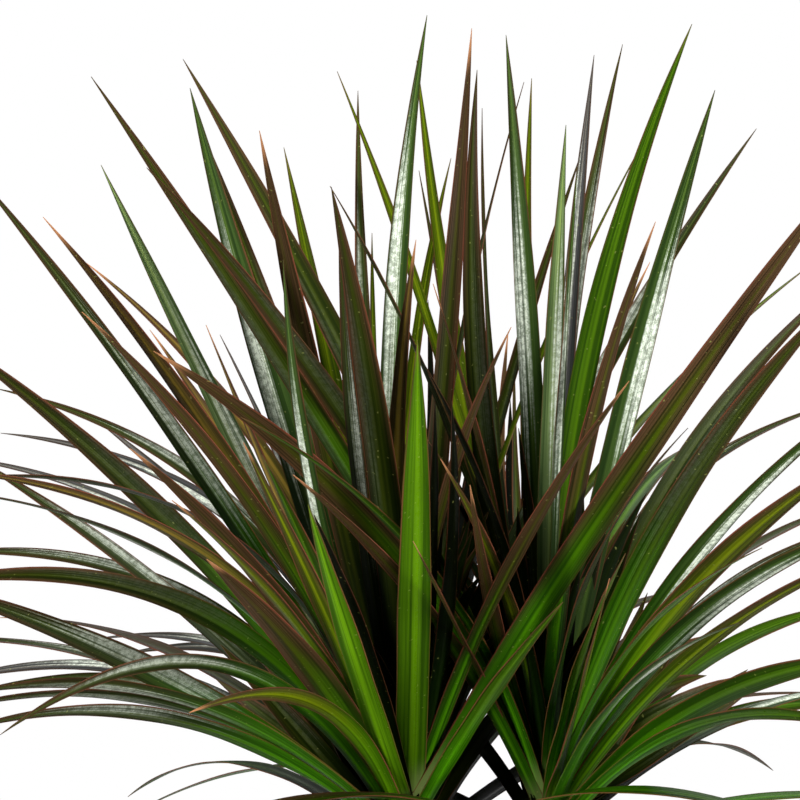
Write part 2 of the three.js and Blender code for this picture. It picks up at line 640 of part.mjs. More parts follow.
function soilGeometry() {
  const inner = (z) => potRadiusAt(z) - POT_WALL - FIT_GAP;
  const bottom = POT_FLOOR + FIT_GAP;
  let soil = toSolid(revolved([
    [0, bottom],
    [inner(bottom) - FIT_GAP, bottom],
    [inner(SOIL_TOP) - FIT_GAP, SOIL_TOP],
    [inner(SOIL_TOP) * 0.7, SOIL_TOP + SOIL_MOUND * 0.6],
    [inner(SOIL_TOP) * 0.4, SOIL_TOP + SOIL_MOUND],
    [0, SOIL_TOP + SOIL_MOUND],
  ], ROUND_SIDES));
  const holeRadius = CANE_FOOT_RADIUS + FIT_GAP;
  for (const side of [-1, 1]) {
    const top = SOIL_TOP + 20;
    const hole = upright(holeRadius, holeRadius, CANE_HOLE_BOTTOM, top, 32, side * CANE_FOOT_X);
    soil = soil.subtract(toSolid(hole));
  }
  return toGeometry(soil);
}

// ---- canes ----
const CANE_SIDES = 10;

// A cane: straight in the soil, then bowed outwards to its head, with a ring at every leaf scar.
function caneGeometry(head) {
  const axis = HEAD_AXES[head];
  const side = head === LEFT ? -1 : 1;
  const bottom = CANE_HOLE_BOTTOM + FIT_GAP;
  const top = HEAD_BOTTOM - FIT_GAP;
  const bare = SOIL_TOP + SOIL_MOUND + 4;
  const rings = Math.round((top - bottom) / (CANE_SCAR_PITCH / 2));
  const cane = new THREE.CylinderGeometry(1, 1, top - bottom, CANE_SIDES, rings);
  cane.rotateX(Math.PI / 2);
  cane.translate(0, 0, (bottom + top) / 2);
  const position = cane.attributes.position;
  for (let i = 0; i < position.count; i += 1) {
    const z = position.getZ(i);
    const rise = smoothStep((z - bare) / (top - bare));
    const ring = Math.round((z - bottom) / ((top - bottom) / rings));
    const scar = z > bare && ring % 2 === 1 && ring < rings ? CANE_SCAR_DEPTH : 0;
    const thin = CANE_FOOT_RADIUS + (CANE_TOP_RADIUS - CANE_FOOT_RADIUS) * rise;
    const footX = side * CANE_FOOT_X;
    position.setX(i, footX + (axis.x - footX) * rise + position.getX(i) * (thin - scar));
    position.setY(i, axis.y * rise + position.getY(i) * (thin - scar));
  }
  return toGeometry(toSolid(cane));
}

// ---- heads ----
const HEAD_SIDES = 14;

function headGeometry(leaves, head) {
  const axis = HEAD_AXES[head];
  const growingTip = upright(
    HEAD_BOTTOM_RADIUS,
    HEAD_TOP_RADIUS,
    HEAD_BOTTOM,
    HEAD_TOP,
    HEAD_SIDES,
    axis.x,
    axis.y,
  );
  const blades = leaves.filter((leaf) => leaf.head === head).map((leaf) => toSolid(bladeGeometry(leaf)));
  return toGeometry(wasm.Manifold.union([toSolid(growingTip), ...blades]));
}

// ---- the object ----
const CLAY = new THREE.MeshStandardMaterial({ color: 0xb5633f, roughness: 0.9, metalness: 0 });
const SOIL = new THREE.MeshStandardMaterial({ color: 0x33261c, roughness: 1, metalness: 0 });
const BARK = new THREE.MeshStandardMaterial({ color: 0x8c7a63, roughness: 0.85, metalness: 0 });
const LEAF = new THREE.MeshStandardMaterial({ color: 0x2f5a1c, roughness: 0.35, metalness: 0 });

function named(name, geometry, material) {
  const mesh = new THREE.Mesh(geometry, material.clone());
  mesh.name = name;
  return mesh;
}

const leaves = growLeaves();
const group = new THREE.Group();
group.add(named('pot', potGeometry(), CLAY));
group.add(named('soil', soilGeometry(), SOIL));
group.add(named('cane_left', caneGeometry(LEFT), BARK));
group.add(named('cane_right', caneGeometry(RIGHT), BARK));
group.add(named('leaves_left', headGeometry(leaves, LEFT), LEAF));
group.add(named('leaves_right', headGeometry(leaves, RIGHT), LEAF));

export default group;
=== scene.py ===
"""Dragon tree in a clay pot: the finished surfaces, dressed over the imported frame.

The camera sees the crown as the photograph does. The rows below repeat where each leaf is seen,
and the spiral, the roots and the bending clear repeat the rule by which the rest grew, so the
blades follow the frame's own leaves. Two things are the scene's alone: a few leaves are bent
back or forward in depth, and short leaves fill the heart of each head.
"""
import logging
import math
import random
from dataclasses import dataclass, field
from enum import Enum, IntEnum
from typing import Callable, NamedTuple, Sequence

import bpy
import numpy as np
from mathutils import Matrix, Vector


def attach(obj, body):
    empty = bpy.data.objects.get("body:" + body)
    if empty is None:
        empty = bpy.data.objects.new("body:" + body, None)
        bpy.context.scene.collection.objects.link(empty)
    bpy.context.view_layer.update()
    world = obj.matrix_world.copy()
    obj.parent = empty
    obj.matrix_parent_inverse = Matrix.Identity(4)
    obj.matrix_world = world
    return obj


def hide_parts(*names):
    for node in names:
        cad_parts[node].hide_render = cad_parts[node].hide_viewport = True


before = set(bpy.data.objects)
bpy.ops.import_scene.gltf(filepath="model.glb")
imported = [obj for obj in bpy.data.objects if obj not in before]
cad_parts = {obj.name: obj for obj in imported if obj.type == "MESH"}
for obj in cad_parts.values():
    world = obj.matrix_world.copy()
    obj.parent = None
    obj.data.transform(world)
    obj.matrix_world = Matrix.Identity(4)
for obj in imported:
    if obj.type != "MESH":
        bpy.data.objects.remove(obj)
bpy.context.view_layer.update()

LOG = logging.getLogger("dragon_tree")
MM = 0.001

Colour = tuple[float, float, float]
Range = tuple[float, float]
Piece = bpy.types.Object
Socket = bpy.types.NodeSocket


class Span(NamedTuple):
    """A least value and how much more a draw can add to it."""

    least: float
    more: float

    def at(self, share: float) -> float:
        """Give the value at a share from 0 to 1."""
        return self.least + self.more * share


# ---- the picture: one pixel is PIXEL mm in the upright plane through PICTURE_CENTRE ----
PIXEL = 0.6
PICTURE_MIDDLE = 400
PICTURE_CENTRE = np.array([-48.0, 0.0, 584.0])
VIEW_DISTANCE = 2400.0
VIEW_ELEVATION = math.radians(8)
VIEW = np.array([0.0, math.cos(VIEW_ELEVATION), -math.sin(VIEW_ELEVATION)])
VIEW_UP = np.array([0.0, math.sin(VIEW_ELEVATION), math.cos(VIEW_ELEVATION)])
VIEW_RIGHT = np.array([1.0, 0.0, 0.0])

# ---- heads and leaves: mm, and degrees for turns and elevations ----
FULL_TURN = 360.0
HALF_TURN = 180.0
GOLDEN_ANGLE = 137.508
HEAD_X = 42.0
HEAD_Y = 8.0
HEAD_BOTTOM = 285.0
HEAD_TOP = 362.0
HEAD_BOTTOM_RADIUS = 13.0
HEAD_TOP_RADIUS = 8.0
ROOT_MARGIN = 5.0
ROOT_LEAST_RADIUS = 0.5
LEAF_CHORD = 0.97
LEAF_MIN_WIDTH = 11.0
LEAF_MAX_WIDTH = 22.0
LEAF_OVER_SEEN_WIDTH = 1.15
LEAF_NECK = 0.42
LEAF_WIDEST = 0.4
LEAF_TAPER = 2.2
LEAF_SINK = 6.0
LEAF_LEAN_BOW = 0.42
LEAF_STEEPEST_ARCH = 85.0
KEEP_OFF_OTHER_HEAD = 42.0
SPIRAL_LEAVES = 26
SPIRAL_SEED = 7
SPIRAL_TURN = 77
SPIRAL_TURN_SPREAD = 14
SPIRAL_HIGHEST_SIDE = 2.0
SPIRAL_HIGHEST_BACK = 30.0
SPIRAL_LOWEST = -36.0
SPIRAL_HEIGHT_SPREAD = 5
SPIRAL_ARCH = 28.0
SPIRAL_LENGTH = Span(350, 90)
SPIRAL_WIDTH = Span(12, 6)
SPEARS = 5
SPEAR_TURN = 30
SPEAR_TURN_SPREAD = 20
SPEAR_ELEVATION = Span(64, 18)
SPEAR_LENGTH = Span(190, 80)
SPEAR_WIDTH = Span(9, 3)

# ---- bending the leaves clear of each other ----
LEAF_CLEARANCE = 2.0
HEADS_CLEARANCE = 6.0
CLEAR_PASSES = 60
CLEAR_STEPS = 10
CLEAR_FROM = 3
CLEAR_PUSH = 0.35
CLEAR_LEAST_GIVE = 0.3
CLEAR_REACH_SQUARED = 12000.0
SEEN_SLIDE = 0.1
PARALLEL = 1e-9
TOUCHING = 1e-6
LEAST_LENGTH = 1e-12

# ---- short leaves in each head's heart: the steep ones first, then the low ones ----
INNER_SEED = 30
INNER_LEAVES = 34
INNER_TURN = (-20, 20)
INNER_ELEVATION = (62, 86)
INNER_LENGTH = (130, 250)
INNER_OUTERMOST = 100.0
INNER_LOW_LEAVES = 18
INNER_LOW_TURN = (10, 85)
INNER_LOW_ELEVATION = (24, 56)
INNER_LOW_LENGTH = (130, 190)
INNER_LOW_OUTERMOST = 170.0
INNER_LOW_ARCH = 8.0
INNER_WIDTH = (12, 17)
INNER_FACE = 0.85
INNER_ROOT_HEIGHT = (HEAD_BOTTOM + 15, HEAD_TOP - 6)
INNER_ROOT_RADIUS = 4
INNER_PAST_MIDDLE = 14.0
INNER_APART = 10.0

# ---- pot, soil and canes, mm ----
POT_HEIGHT = 165.0
POT_BASE_RADIUS = 62.0
POT_TOP_RADIUS = 86.0
POT_WALL = 7.0
POT_FLOOR = 9.0
COLLAR_RADIUS = 95.0
COLLAR_HEIGHT = 32.0
DRAIN_HOLES = 4
DRAIN_HOLE_RADIUS = 6.0
DRAIN_HOLE_CIRCLE = 30.0
SOIL_TOP = 150.0
SOIL_MOUND = 5.0
FIT_GAP = 0.3
CANE_HOLE_BOTTOM = 70.0
CANE_FOOT_X = 23.0
CANE_FOOT_RADIUS = 11.0
CANE_TOP_RADIUS = 9.5
HOLE_SIDES = 48
CANE_SCAR_PITCH = 13.0


class Head(IntEnum):
    """Which cane a leaf grows on."""

    LEFT = 0
    RIGHT = 1


class Lean(IntEnum):
    """Whether a leaf leans towards the viewer or away."""

    FRONT = -1
    BACK = 1


class LeafTone(NamedTuple):
    """Colour of a leaf and how strongly each marking shows on it, from 0 to 1."""

    colour: Colour
    fresh: float
    maroon: float
    # painted sheen: how strongly a pale painted highlight shows on the leaf
    painted_sheen: float
    dry_tip: float


class Tone(Enum):
    """The leaf colours that the photograph shows."""

    # painted shade: a near-black colour for the seen leaves that lie deep in the heart
    SHADE = LeafTone((0.002, 0.003, 0.001), 0.04, 0.00, 0.00, 0.1)
    # painted shade: a near-black colour for the short leaves grown in each head's heart
    INNER = LeafTone((0.004, 0.009, 0.001), 0.00, 0.05, 0.00, 0.1)
    DARK = LeafTone((0.025, 0.037, 0.003), 0.55, 0.36, 0.03, 0.3)
    GREEN = LeafTone((0.044, 0.108, 0.003), 0.90, 0.20, 0.02, 0.4)
    MOSS = LeafTone((0.078, 0.115, 0.003), 0.30, 0.15, 0.00, 0.4)
    FRESH = LeafTone((0.056, 0.135, 0.003), 0.30, 0.05, 0.00, 0.4)
    LIME = LeafTone((0.086, 0.208, 0.003), 0.00, 0.00, 0.00, 0.4)
    OLIVE = LeafTone((0.105, 0.140, 0.003), 0.60, 0.48, 0.00, 0.9)
    MAROON = LeafTone((0.036, 0.048, 0.003), 0.75, 0.66, 0.00, 0.8)
    RUSSET = LeafTone((0.210, 0.145, 0.025), 0.60, 0.52, 0.00, 1.0)
    # painted sheen: a dark green under a grey painted highlight
    DUSK = LeafTone((0.032, 0.046, 0.010), 0.80, 0.30, 0.40, 0.3)
    # painted reflection: grey-lilac under full painted sheen, for the white surround on the leaf
    LILAC = LeafTone((0.115, 0.108, 0.112), 0.10, 0.20, 1.00, 0.2)
    # painted sheen: a green under a bright painted highlight
    SHEEN = LeafTone((0.050, 0.094, 0.018), 0.85, 0.10, 1.00, 0.3)
    # a light green of the leaf's own, under a strong painted sheen
    PALE = LeafTone((0.150, 0.220, 0.075), 0.50, 0.02, 0.90, 0.3)


LEFT, RIGHT = Head.LEFT, Head.RIGHT
FRONT, BACK = Lean.FRONT, Lean.BACK
SHADE, INNER, DARK, GREEN, MOSS = Tone.SHADE, Tone.INNER, Tone.DARK, Tone.GREEN, Tone.MOSS
FRESH, LIME, OLIVE, MAROON = Tone.FRESH, Tone.LIME, Tone.OLIVE, Tone.MAROON
RUSSET, DUSK, LILAC, SHEEN, PALE = Tone.RUSSET, Tone.DUSK, Tone.LILAC, Tone.SHEEN, Tone.PALE
SPIRAL_TONES = (GREEN, MAROON, DARK, OLIVE, GREEN, SHEEN, DARK)


class SeenLeaf(NamedTuple):
    """A leaf as the photograph shows it: points in pixels, real length in mm."""

    head: Head
    tip: tuple[float, float]
    middle: tuple[float, float]
    seen_width: float
    lean: Lean
    length: float
    tone: Tone


# Each head's leaves, each row a SeenLeaf without its head.
SEEN_ROWS: dict[Head, tuple[tuple, ...]] = {
    LEFT: (
        ((190, 88), (256, 330), 30, FRONT, 483, SHEEN),
        ((196, 118), (247, 250), 18, BACK, 488, DARK),
        ((260, 130), (306, 350), 24, FRONT, 458, MAROON),
        ((283, 260), (297, 400), 15, FRONT, 458, SHEEN),
        ((284, 147), (330, 365), 19, BACK, 458, MOSS),
        ((101, 165), (190, 349), 20, FRONT, 463, PALE),
        ((43, 217), (167, 373), 18, FRONT, 458, RUSSET),
        ((85, 262), (203, 373), 13, BACK, 458, RUSSET),
        ((-30, 166), (152, 401), 18, FRONT, 513, DUSK),
        ((82, 312), (200, 437), 17, FRONT, 458, MAROON),
        ((206, 325), (243, 415), 8, FRONT, 388, RUSSET),
        ((219, 335), (251, 402), 7, BACK, 388, LILAC),
        ((-60, 330), (150, 503), 25, FRONT, 458, DARK),
        ((-5, 388), (196, 474), 14, BACK, 458, DUSK),
        ((0, 433), (200, 496), 13, BACK, 458, LILAC),
        ((-60, 455), (170, 530), 10, BACK, 458, LILAC),
        ((-40, 450), (190, 612), 16, BACK, 428, DUSK),
        ((-60, 480), (200, 520), 6, FRONT, 428, DARK),
        ((-70, 470), (190, 545), 11, FRONT, 448, RUSSET),
        ((-60, 490), (185, 568), 6, FRONT, 428, DUSK),
        ((130, 449), (221, 534), 20, FRONT, 428, MAROON),
        ((172, 500), (240, 560), 12, FRONT, 378, OLIVE),
        ((-80, 556), (150, 579), 15, BACK, 458, DUSK),
        ((-100, 589), (200, 613), 22, FRONT, 458, DARK),
        ((-90, 579), (150, 673), 28, FRONT, 458, DUSK),
        ((-90, 640), (155, 672), 8, BACK, 428, DUSK),
        ((-80, 690), (150, 674), 12, BACK, 428, LILAC),
        ((0, 735), (220, 666), 17, FRONT, 428, DUSK),
        ((90, 640), (256, 656), 9, BACK, 388, LILAC),
        ((120, 655), (290, 668), 14, BACK, 388, LILAC),
        ((-20, 690), (180, 690), 12, BACK, 428, DUSK),
        ((-60, 712), (150, 700), 12, FRONT, 428, DUSK),
        ((-60, 700), (110, 688), 14, FRONT, 440, DUSK),
        ((-40, 730), (120, 708), 16, FRONT, 440, DUSK),
        ((190, 712), (300, 696), 18, FRONT, 328, OLIVE),
        ((213, 558), (300, 640), 30, FRONT, 368, MAROON),
        ((305, 505), (338, 630), 22, FRONT, 378, LIME),
        ((312, 515), (362, 650), 16, FRONT, 338, SHADE),
        ((241, 443), (300, 570), 17, FRONT, 418, OLIVE),
        ((262, 455), (305, 545), 16, FRONT, 388, GREEN),
        ((333, 187), (380, 440), 30, FRONT, 458, DARK),
        ((341, 218), (356, 400), 15, FRONT, 418, DUSK),
        ((357, 90), (362, 330), 15, BACK, 488, DUSK),
        ((427, 15), (393, 350), 22, FRONT, 513, SHEEN),
        ((414, 240), (394, 400), 18, FRONT, 408, RUSSET),
        ((451, 158), (418, 330), 13, BACK, 448, MOSS),
        ((418, 340), (416, 600), 31, FRONT, 448, LIME),
        ((472, 28), (452, 290), 20, BACK, 503, MAROON),
        ((372, 233), (373, 340), 9, BACK, 408, MOSS),
        ((524, 82), (484, 235), 4, BACK, 488, DARK),
        ((583, 150), (532, 310), 12, BACK, 468, DARK),
        ((646, 138), (583, 262), 5, BACK, 478, MOSS),
        ((756, 129), (633, 316), 17, BACK, 518, DUSK),
        ((851, 165), (602, 510), 28, FRONT, 528, MAROON),
        ((682, 428), (600, 530), 12, BACK, 428, MAROON),
        ((815, 262), (670, 390), 7, BACK, 488, MOSS),
        ((563, 602), (510, 668), 16, FRONT, 328, GREEN),
        ((630, 382), (535, 525), 14, FRONT, 428, MAROON),
        ((512, 327), (474, 415), 12, FRONT, 378, MAROON),
        ((435, 398), (436, 460), 13, FRONT, 358, SHADE),
        ((449, 400), (446, 560), 14, FRONT, 368, SHADE),
        ((470, 487), (463, 600), 12, BACK, 328, SHADE),
        ((492, 372), (470, 490), 16, BACK, 398, SHADE),
        ((509, 455), (492, 505), 5, BACK, 358, SHADE),
        ((478, 420), (458, 560), 14, BACK, 388, SHADE),
        ((432, 440), (428, 580), 14, BACK, 358, SHADE),
        ((90, 415), (215, 525), 14, BACK, 428, LILAC),
        ((150, 330), (235, 455), 14, BACK, 428, RUSSET),
        ((428, 300), (432, 440), 12, BACK, 428, SHADE),
    ),
    RIGHT: (
        ((92, 77), (190, 220), 20, FRONT, 563, DARK),
        ((146, 168), (300, 355), 22, FRONT, 518, DARK),
        ((184, 60), (263, 198), 24, BACK, 548, DARK),
        ((152, 350), (322, 485), 28, FRONT, 458, MAROON),
        ((240, 420), (375, 512), 8, FRONT, 418, GREEN),
        ((338, 72), (395, 220), 11, BACK, 508, MOSS),
        ((477, 70), (475, 350), 22, FRONT, 478, DARK),
        ((417, 60), (438, 230), 17, BACK, 508, MOSS),
        ((419, 170), (432, 240), 10, BACK, 458, DUSK),
        ((330, 186), (402, 320), 5, FRONT, 458, DARK),
        ((481, 108), (482, 250), 6, BACK, 468, DARK),
        ((506, 35), (525, 290), 22, FRONT, 498, SHEEN),
        ((532, 78), (527, 230), 14, BACK, 488, MOSS),
        ((566, 125), (554, 350), 20, FRONT, 458, PALE),
        ((594, 55), (570, 300), 17, BACK, 483, LILAC),
        ((577, 168), (569, 280), 8, FRONT, 448, SHEEN),
        ((622, 45), (581, 250), 16, BACK, 498, DUSK),
        ((692, 24), (603, 290), 24, FRONT, 518, FRESH),
        ((715, 90), (641, 351), 26, FRONT, 483, SHEEN),
        ((655, 222), (600, 390), 17, FRONT, 458, MAROON),
        ((860, 264), (692, 449), 18, BACK, 458, DARK),
        ((850, 285), (685, 490), 26, FRONT, 458, DARK),
        ((688, 428), (630, 500), 5, FRONT, 378, DARK),
        ((850, 399), (650, 511), 11, BACK, 428, DUSK),
        ((880, 386), (672, 587), 18, FRONT, 458, SHEEN),
        ((870, 447), (702, 579), 26, FRONT, 438, OLIVE),
        ((880, 495), (710, 575), 8, BACK, 428, DARK),
        ((762, 548), (665, 612), 8, FRONT, 408, GREEN),
        ((880, 521), (702, 616), 22, FRONT, 458, SHEEN),
        ((860, 535), (720, 600), 8, FRONT, 428, MAROON),
        ((880, 548), (700, 647), 16, FRONT, 448, OLIVE),
        ((742, 622), (640, 678), 10, FRONT, 368, SHEEN),
        ((910, 656), (722, 695), 26, FRONT, 458, GREEN),
        ((900, 705), (750, 708), 16, BACK, 458, GREEN),
        ((880, 738), (740, 716), 16, FRONT, 440, GREEN),
        ((626, 555), (600, 610), 9, FRONT, 348, GREEN),
        ((609, 577), (592, 645), 4, FRONT, 328, OLIVE),
        ((440, 458), (475, 522), 12, FRONT, 378, OLIVE),
        ((293, 475), (405, 585), 15, FRONT, 428, MAROON),
        ((413, 541), (445, 605), 5, FRONT, 348, MAROON),
        ((433, 285), (462, 380), 5, FRONT, 408, MAROON),
        ((423, 362), (452, 418), 8, FRONT, 378, SHADE),
        ((474, 430), (487, 505), 10, BACK, 378, SHADE),
        ((470, 485), (488, 590), 14, FRONT, 358, MAROON),
        ((509, 400), (511, 540), 20, BACK, 418, SHADE),
        ((512, 360), (513, 470), 9, BACK, 428, DARK),
        ((530, 420), (532, 550), 14, BACK, 408, SHADE),
        ((497, 440), (505, 580), 14, BACK, 388, SHADE),
        ((545, 450), (545, 580), 14, BACK, 388, SHADE),
        ((455, 430), (490, 560), 12, BACK, 418, SHADE),
        ((742, 392), (655, 490), 20, BACK, 428, GREEN),
        ((870, 520), (740, 580), 14, BACK, 448, DUSK),
        ((880, 600), (740, 640), 14, BACK, 438, GREEN),
        ((508, 332), (500, 440), 12, BACK, 408, MAROON),
        ((650, 262), (603, 370), 12, BACK, 448, RUSSET),
    ),
}
SEEN_LEAVES = [SeenLeaf(head, *row) for head, rows in SEEN_ROWS.items() for row in rows]

# How far the bend of the leaf with this tip is moved back from the frame's leaf, in mm.
BENT_BACK: dict[tuple[float, float], float] = {
    (851, 165): -60.0,
    (440, 458): 85.0,
    (470, 485): 90.0,
    (413, 541): 110.0,
    (293, 475): 75.0,
    (240, 420): 10.0,
}


def unit(vectors: np.ndarray) -> np.ndarray:
    """Scale vectors, along the last axis, to length 1."""
    lengths = np.linalg.norm(vectors, axis=-1, keepdims=True)
    return vectors / np.maximum(lengths, LEAST_LENGTH)


def smooth_step(value: np.ndarray | float) -> np.ndarray | float:
    """Ease from 0 to 1, level at both ends."""
    t = np.clip(value, 0.0, 1.0)
    return t * t * (3.0 - 2.0 * t)


def seeded_draws(seed: int) -> Callable[[], float]:
    """Make a source of random numbers from 0 to 1 by 32-bit whole-number steps.

    Args:
        seed: where the sequence starts.

    Returns:
        A function that gives the next number each time it is called.
    """
    word, stride = 0xFFFFFFFF, 0x6D2B79F5
    state = seed

    def draw() -> float:
        """Step once and give a number from 0 to 1.

        Returns:
            The next number of the sequence.
        """
        nonlocal state
        state = (state + stride) & word
        mixed = ((state ^ (state >> 15)) * (state | 1)) & word
        mixed ^= (mixed + (((mixed ^ (mixed >> 7)) * (mixed | 61)) & word)) & word
        return (mixed ^ (mixed >> 14)) / (word + 1)

    return draw


def from_picture(right: float, up: float, depth: float) -> np.ndarray:
    """Give the point seen at (right, up) mm in the picture plane, moved back by depth mm."""
    spread = 1 + depth / VIEW_DISTANCE
    return PICTURE_CENTRE + VIEW_RIGHT * right * spread + VIEW_UP * up * spread + VIEW * depth


def to_picture(point: np.ndarray) -> tuple[float, float, float]:
    """Give where a point is seen: right and up in mm, and its depth behind the picture plane.

    Args:
        point: a place in mm.

    Returns:
        Right, up and depth, in mm.
    """
    offset = point - PICTURE_CENTRE
    depth = float(offset @ VIEW)
    spread = 1 + depth / VIEW_DISTANCE
    return float(offset @ VIEW_RIGHT) / spread, float(offset @ VIEW_UP) / spread, depth


def pixel_to_plane(pixel: Sequence[float]) -> tuple[float, float]:
    """Turn a pixel of the photograph into mm right and up in the picture plane."""
    return (pixel[0] - PICTURE_MIDDLE) * PIXEL, (PICTURE_MIDDLE - pixel[1]) * PIXEL


def direction(azimuth: float, elevation: float) -> np.ndarray:
    """Give the unit vector at an azimuth and a height above level, both in degrees."""
    a, e = math.radians(azimuth), math.radians(elevation)
    return np.array([math.cos(a) * math.cos(e), math.sin(a) * math.cos(e), math.sin(e)])


def head_axis(head: Head) -> np.ndarray:
    """Give the foot of a head's upright axis."""
    side = -1 if head == Head.LEFT else 1
    return np.array([side * HEAD_X, side * HEAD_Y, 0.0])


@dataclass
class Leaf:
    """One leaf's centre line: a curve from its root past a bend to its tip, in mm."""

    head: Head
    tip: np.ndarray
    width: float
    tone: Tone
    face: float = 0.0
    middle: tuple[float, float] | None = None
    azimuth: float = 0.0
    arch: float = 0.0
    length: float = 0.0
    root: np.ndarray = field(default_factory=lambda: np.zeros(3))
    bend: np.ndarray = field(default_factory=lambda: np.zeros(3))

    def set_bend(self) -> None:
        """Place the curve's middle control point, from the picture or from the arch."""
        if self.middle is None:
            self.bend = self.root + direction(self.azimuth, self.arch) * self.length / 2
            return
        root, tip = to_picture(self.root), to_picture(self.tip)
        middle = pixel_to_plane(self.middle)
        below = math.hypot(middle[0] - root[0], middle[1] - root[1])
        above = math.hypot(middle[0] - tip[0], middle[1] - tip[1])
        t = below / (below + above)
        seen = [
            (middle[k] - (1 - t) * (1 - t) * root[k] - t * t * tip[k]) / (2 * t * (1 - t))
            for k in (0, 1)
        ]
        depth = root[2] + LEAF_LEAN_BOW * (tip[2] - root[2])
        self.bend = from_picture(seen[0], seen[1], depth)


class Curves:
    """All leaves' centre lines together, evaluated at the same shares of their length."""

    def __init__(self, leaves: Sequence[Leaf]) -> None:
        """Gather the leaves' points.

        Args:
            leaves: the leaves, rooted and bent.
        """
        self.root = np.array([leaf.root for leaf in leaves])[:, None, :]
        self.bend = np.array([leaf.bend for leaf in leaves])[:, None, :]
        self.tip = np.array([leaf.tip for leaf in leaves])[:, None, :]
        self.width = np.array([leaf.width for leaf in leaves])[:, None]
        self.face = np.array([leaf.face for leaf in leaves])[:, None, None]
        at_root = np.zeros(1)
        tangent = self.tangents(at_root)
        level = self.level_across(tangent)
        facing = unit(np.cross(tangent, VIEW))
        edge_on = np.cross(tangent, facing)
        self.facing_sign = np.where((facing * level).sum(-1) < 0, -1.0, 1.0)[..., None]
        self.edge_sign = np.where((edge_on * level).sum(-1) < 0, -1.0, 1.0)[..., None]

    def points(self, t: np.ndarray) -> np.ndarray:
        """Give the points at shares t of every leaf."""
        s = t[None, :, None]
        return self.root * (1 - s) ** 2 + self.bend * 2 * s * (1 - s) + self.tip * s * s

    def tangents(self, t: np.ndarray) -> np.ndarray:
        """Give the unit directions along every leaf at shares t."""
        s = t[None, :, None]
        return unit(self.root * (s - 1) + self.bend * (1 - 2 * s) + self.tip * s)

    def level_across(self, tangent: np.ndarray) -> np.ndarray:
        """Give the level direction round the cane, square to the leaf.

        Args:
            tangent: the leaves' own directions.

        Returns:
            A unit direction for each leaf and share.
        """
        outward = self.tip - self.root
        level = np.stack([-outward[..., 1], outward[..., 0], np.zeros_like(outward[..., 0])], -1)
        return unit(level - tangent * (level * tangent).sum(-1, keepdims=True))

    def across(self, t: np.ndarray) -> np.ndarray:
        """Give the directions across the blades: level at the root, turned to view further out.

        Args:
            t: shares of the leaves' length.

        Returns:
            A unit direction for each leaf and share.
        """
        tangent = self.tangents(t)
        level = self.level_across(tangent)
        facing = unit(np.cross(tangent, VIEW))
        edge_on = np.cross(tangent, facing)
        turned = facing * self.face * self.facing_sign
        turned = turned + edge_on * self.edge_sign * np.sqrt(1 - self.face * self.face)
        share = smooth_step(t / LEAF_WIDEST)[None, :, None]
        blended = unit(level + (turned - level) * share)
        return np.where(self.face == 0, level, blended)

    def half_widths(self, t: np.ndarray, neck: float = LEAF_NECK) -> np.ndarray:
        """Give the blades' half widths at shares t.

        Args:
            t: shares of the leaves' length.
            neck: a blade's width at its root, as a share of its greatest.

        Returns:
            Half widths in mm, a row for each leaf.
        """
        narrow = neck + (1 - neck) * smooth_step(t / LEAF_WIDEST)
        beyond = np.clip((t - LEAF_WIDEST) / (1 - LEAF_WIDEST), 0, 1)
        return self.width / 2 * (narrow * (1 - beyond**LEAF_TAPER))[None, :]


def nearest_shares(p: np.ndarray, dp: np.ndarray, q: np.ndarray, dq: np.ndarray) -> tuple:
    """Find where straight stretches come nearest, as shares of each stretch.

    Args:
        p: where the first stretches start.
        dp: how far they run.
        q: where the second stretches start.
        dq: how far they run.

    Returns:
        The shares along the first stretches and along the second.
    """
    r = p - q
    a, e = (dp * dp).sum(-1), (dq * dq).sum(-1)
    b, c, f = (dp * dq).sum(-1), (dp * r).sum(-1), (dq * r).sum(-1)
    det = a * e - b * b
    crossing = det > PARALLEL
    safe = np.where(crossing, det, 1.0)
    s = np.where(crossing, np.clip((b * f - c * e) / safe, 0, 1), 0.5)
    u = (b * s + f) / e
    outside = (u < 0) | (u > 1)
    u = np.clip(u, 0, 1)
    s = np.where(outside, np.clip((b * u - c) / a, 0, 1), s)
    return s, u


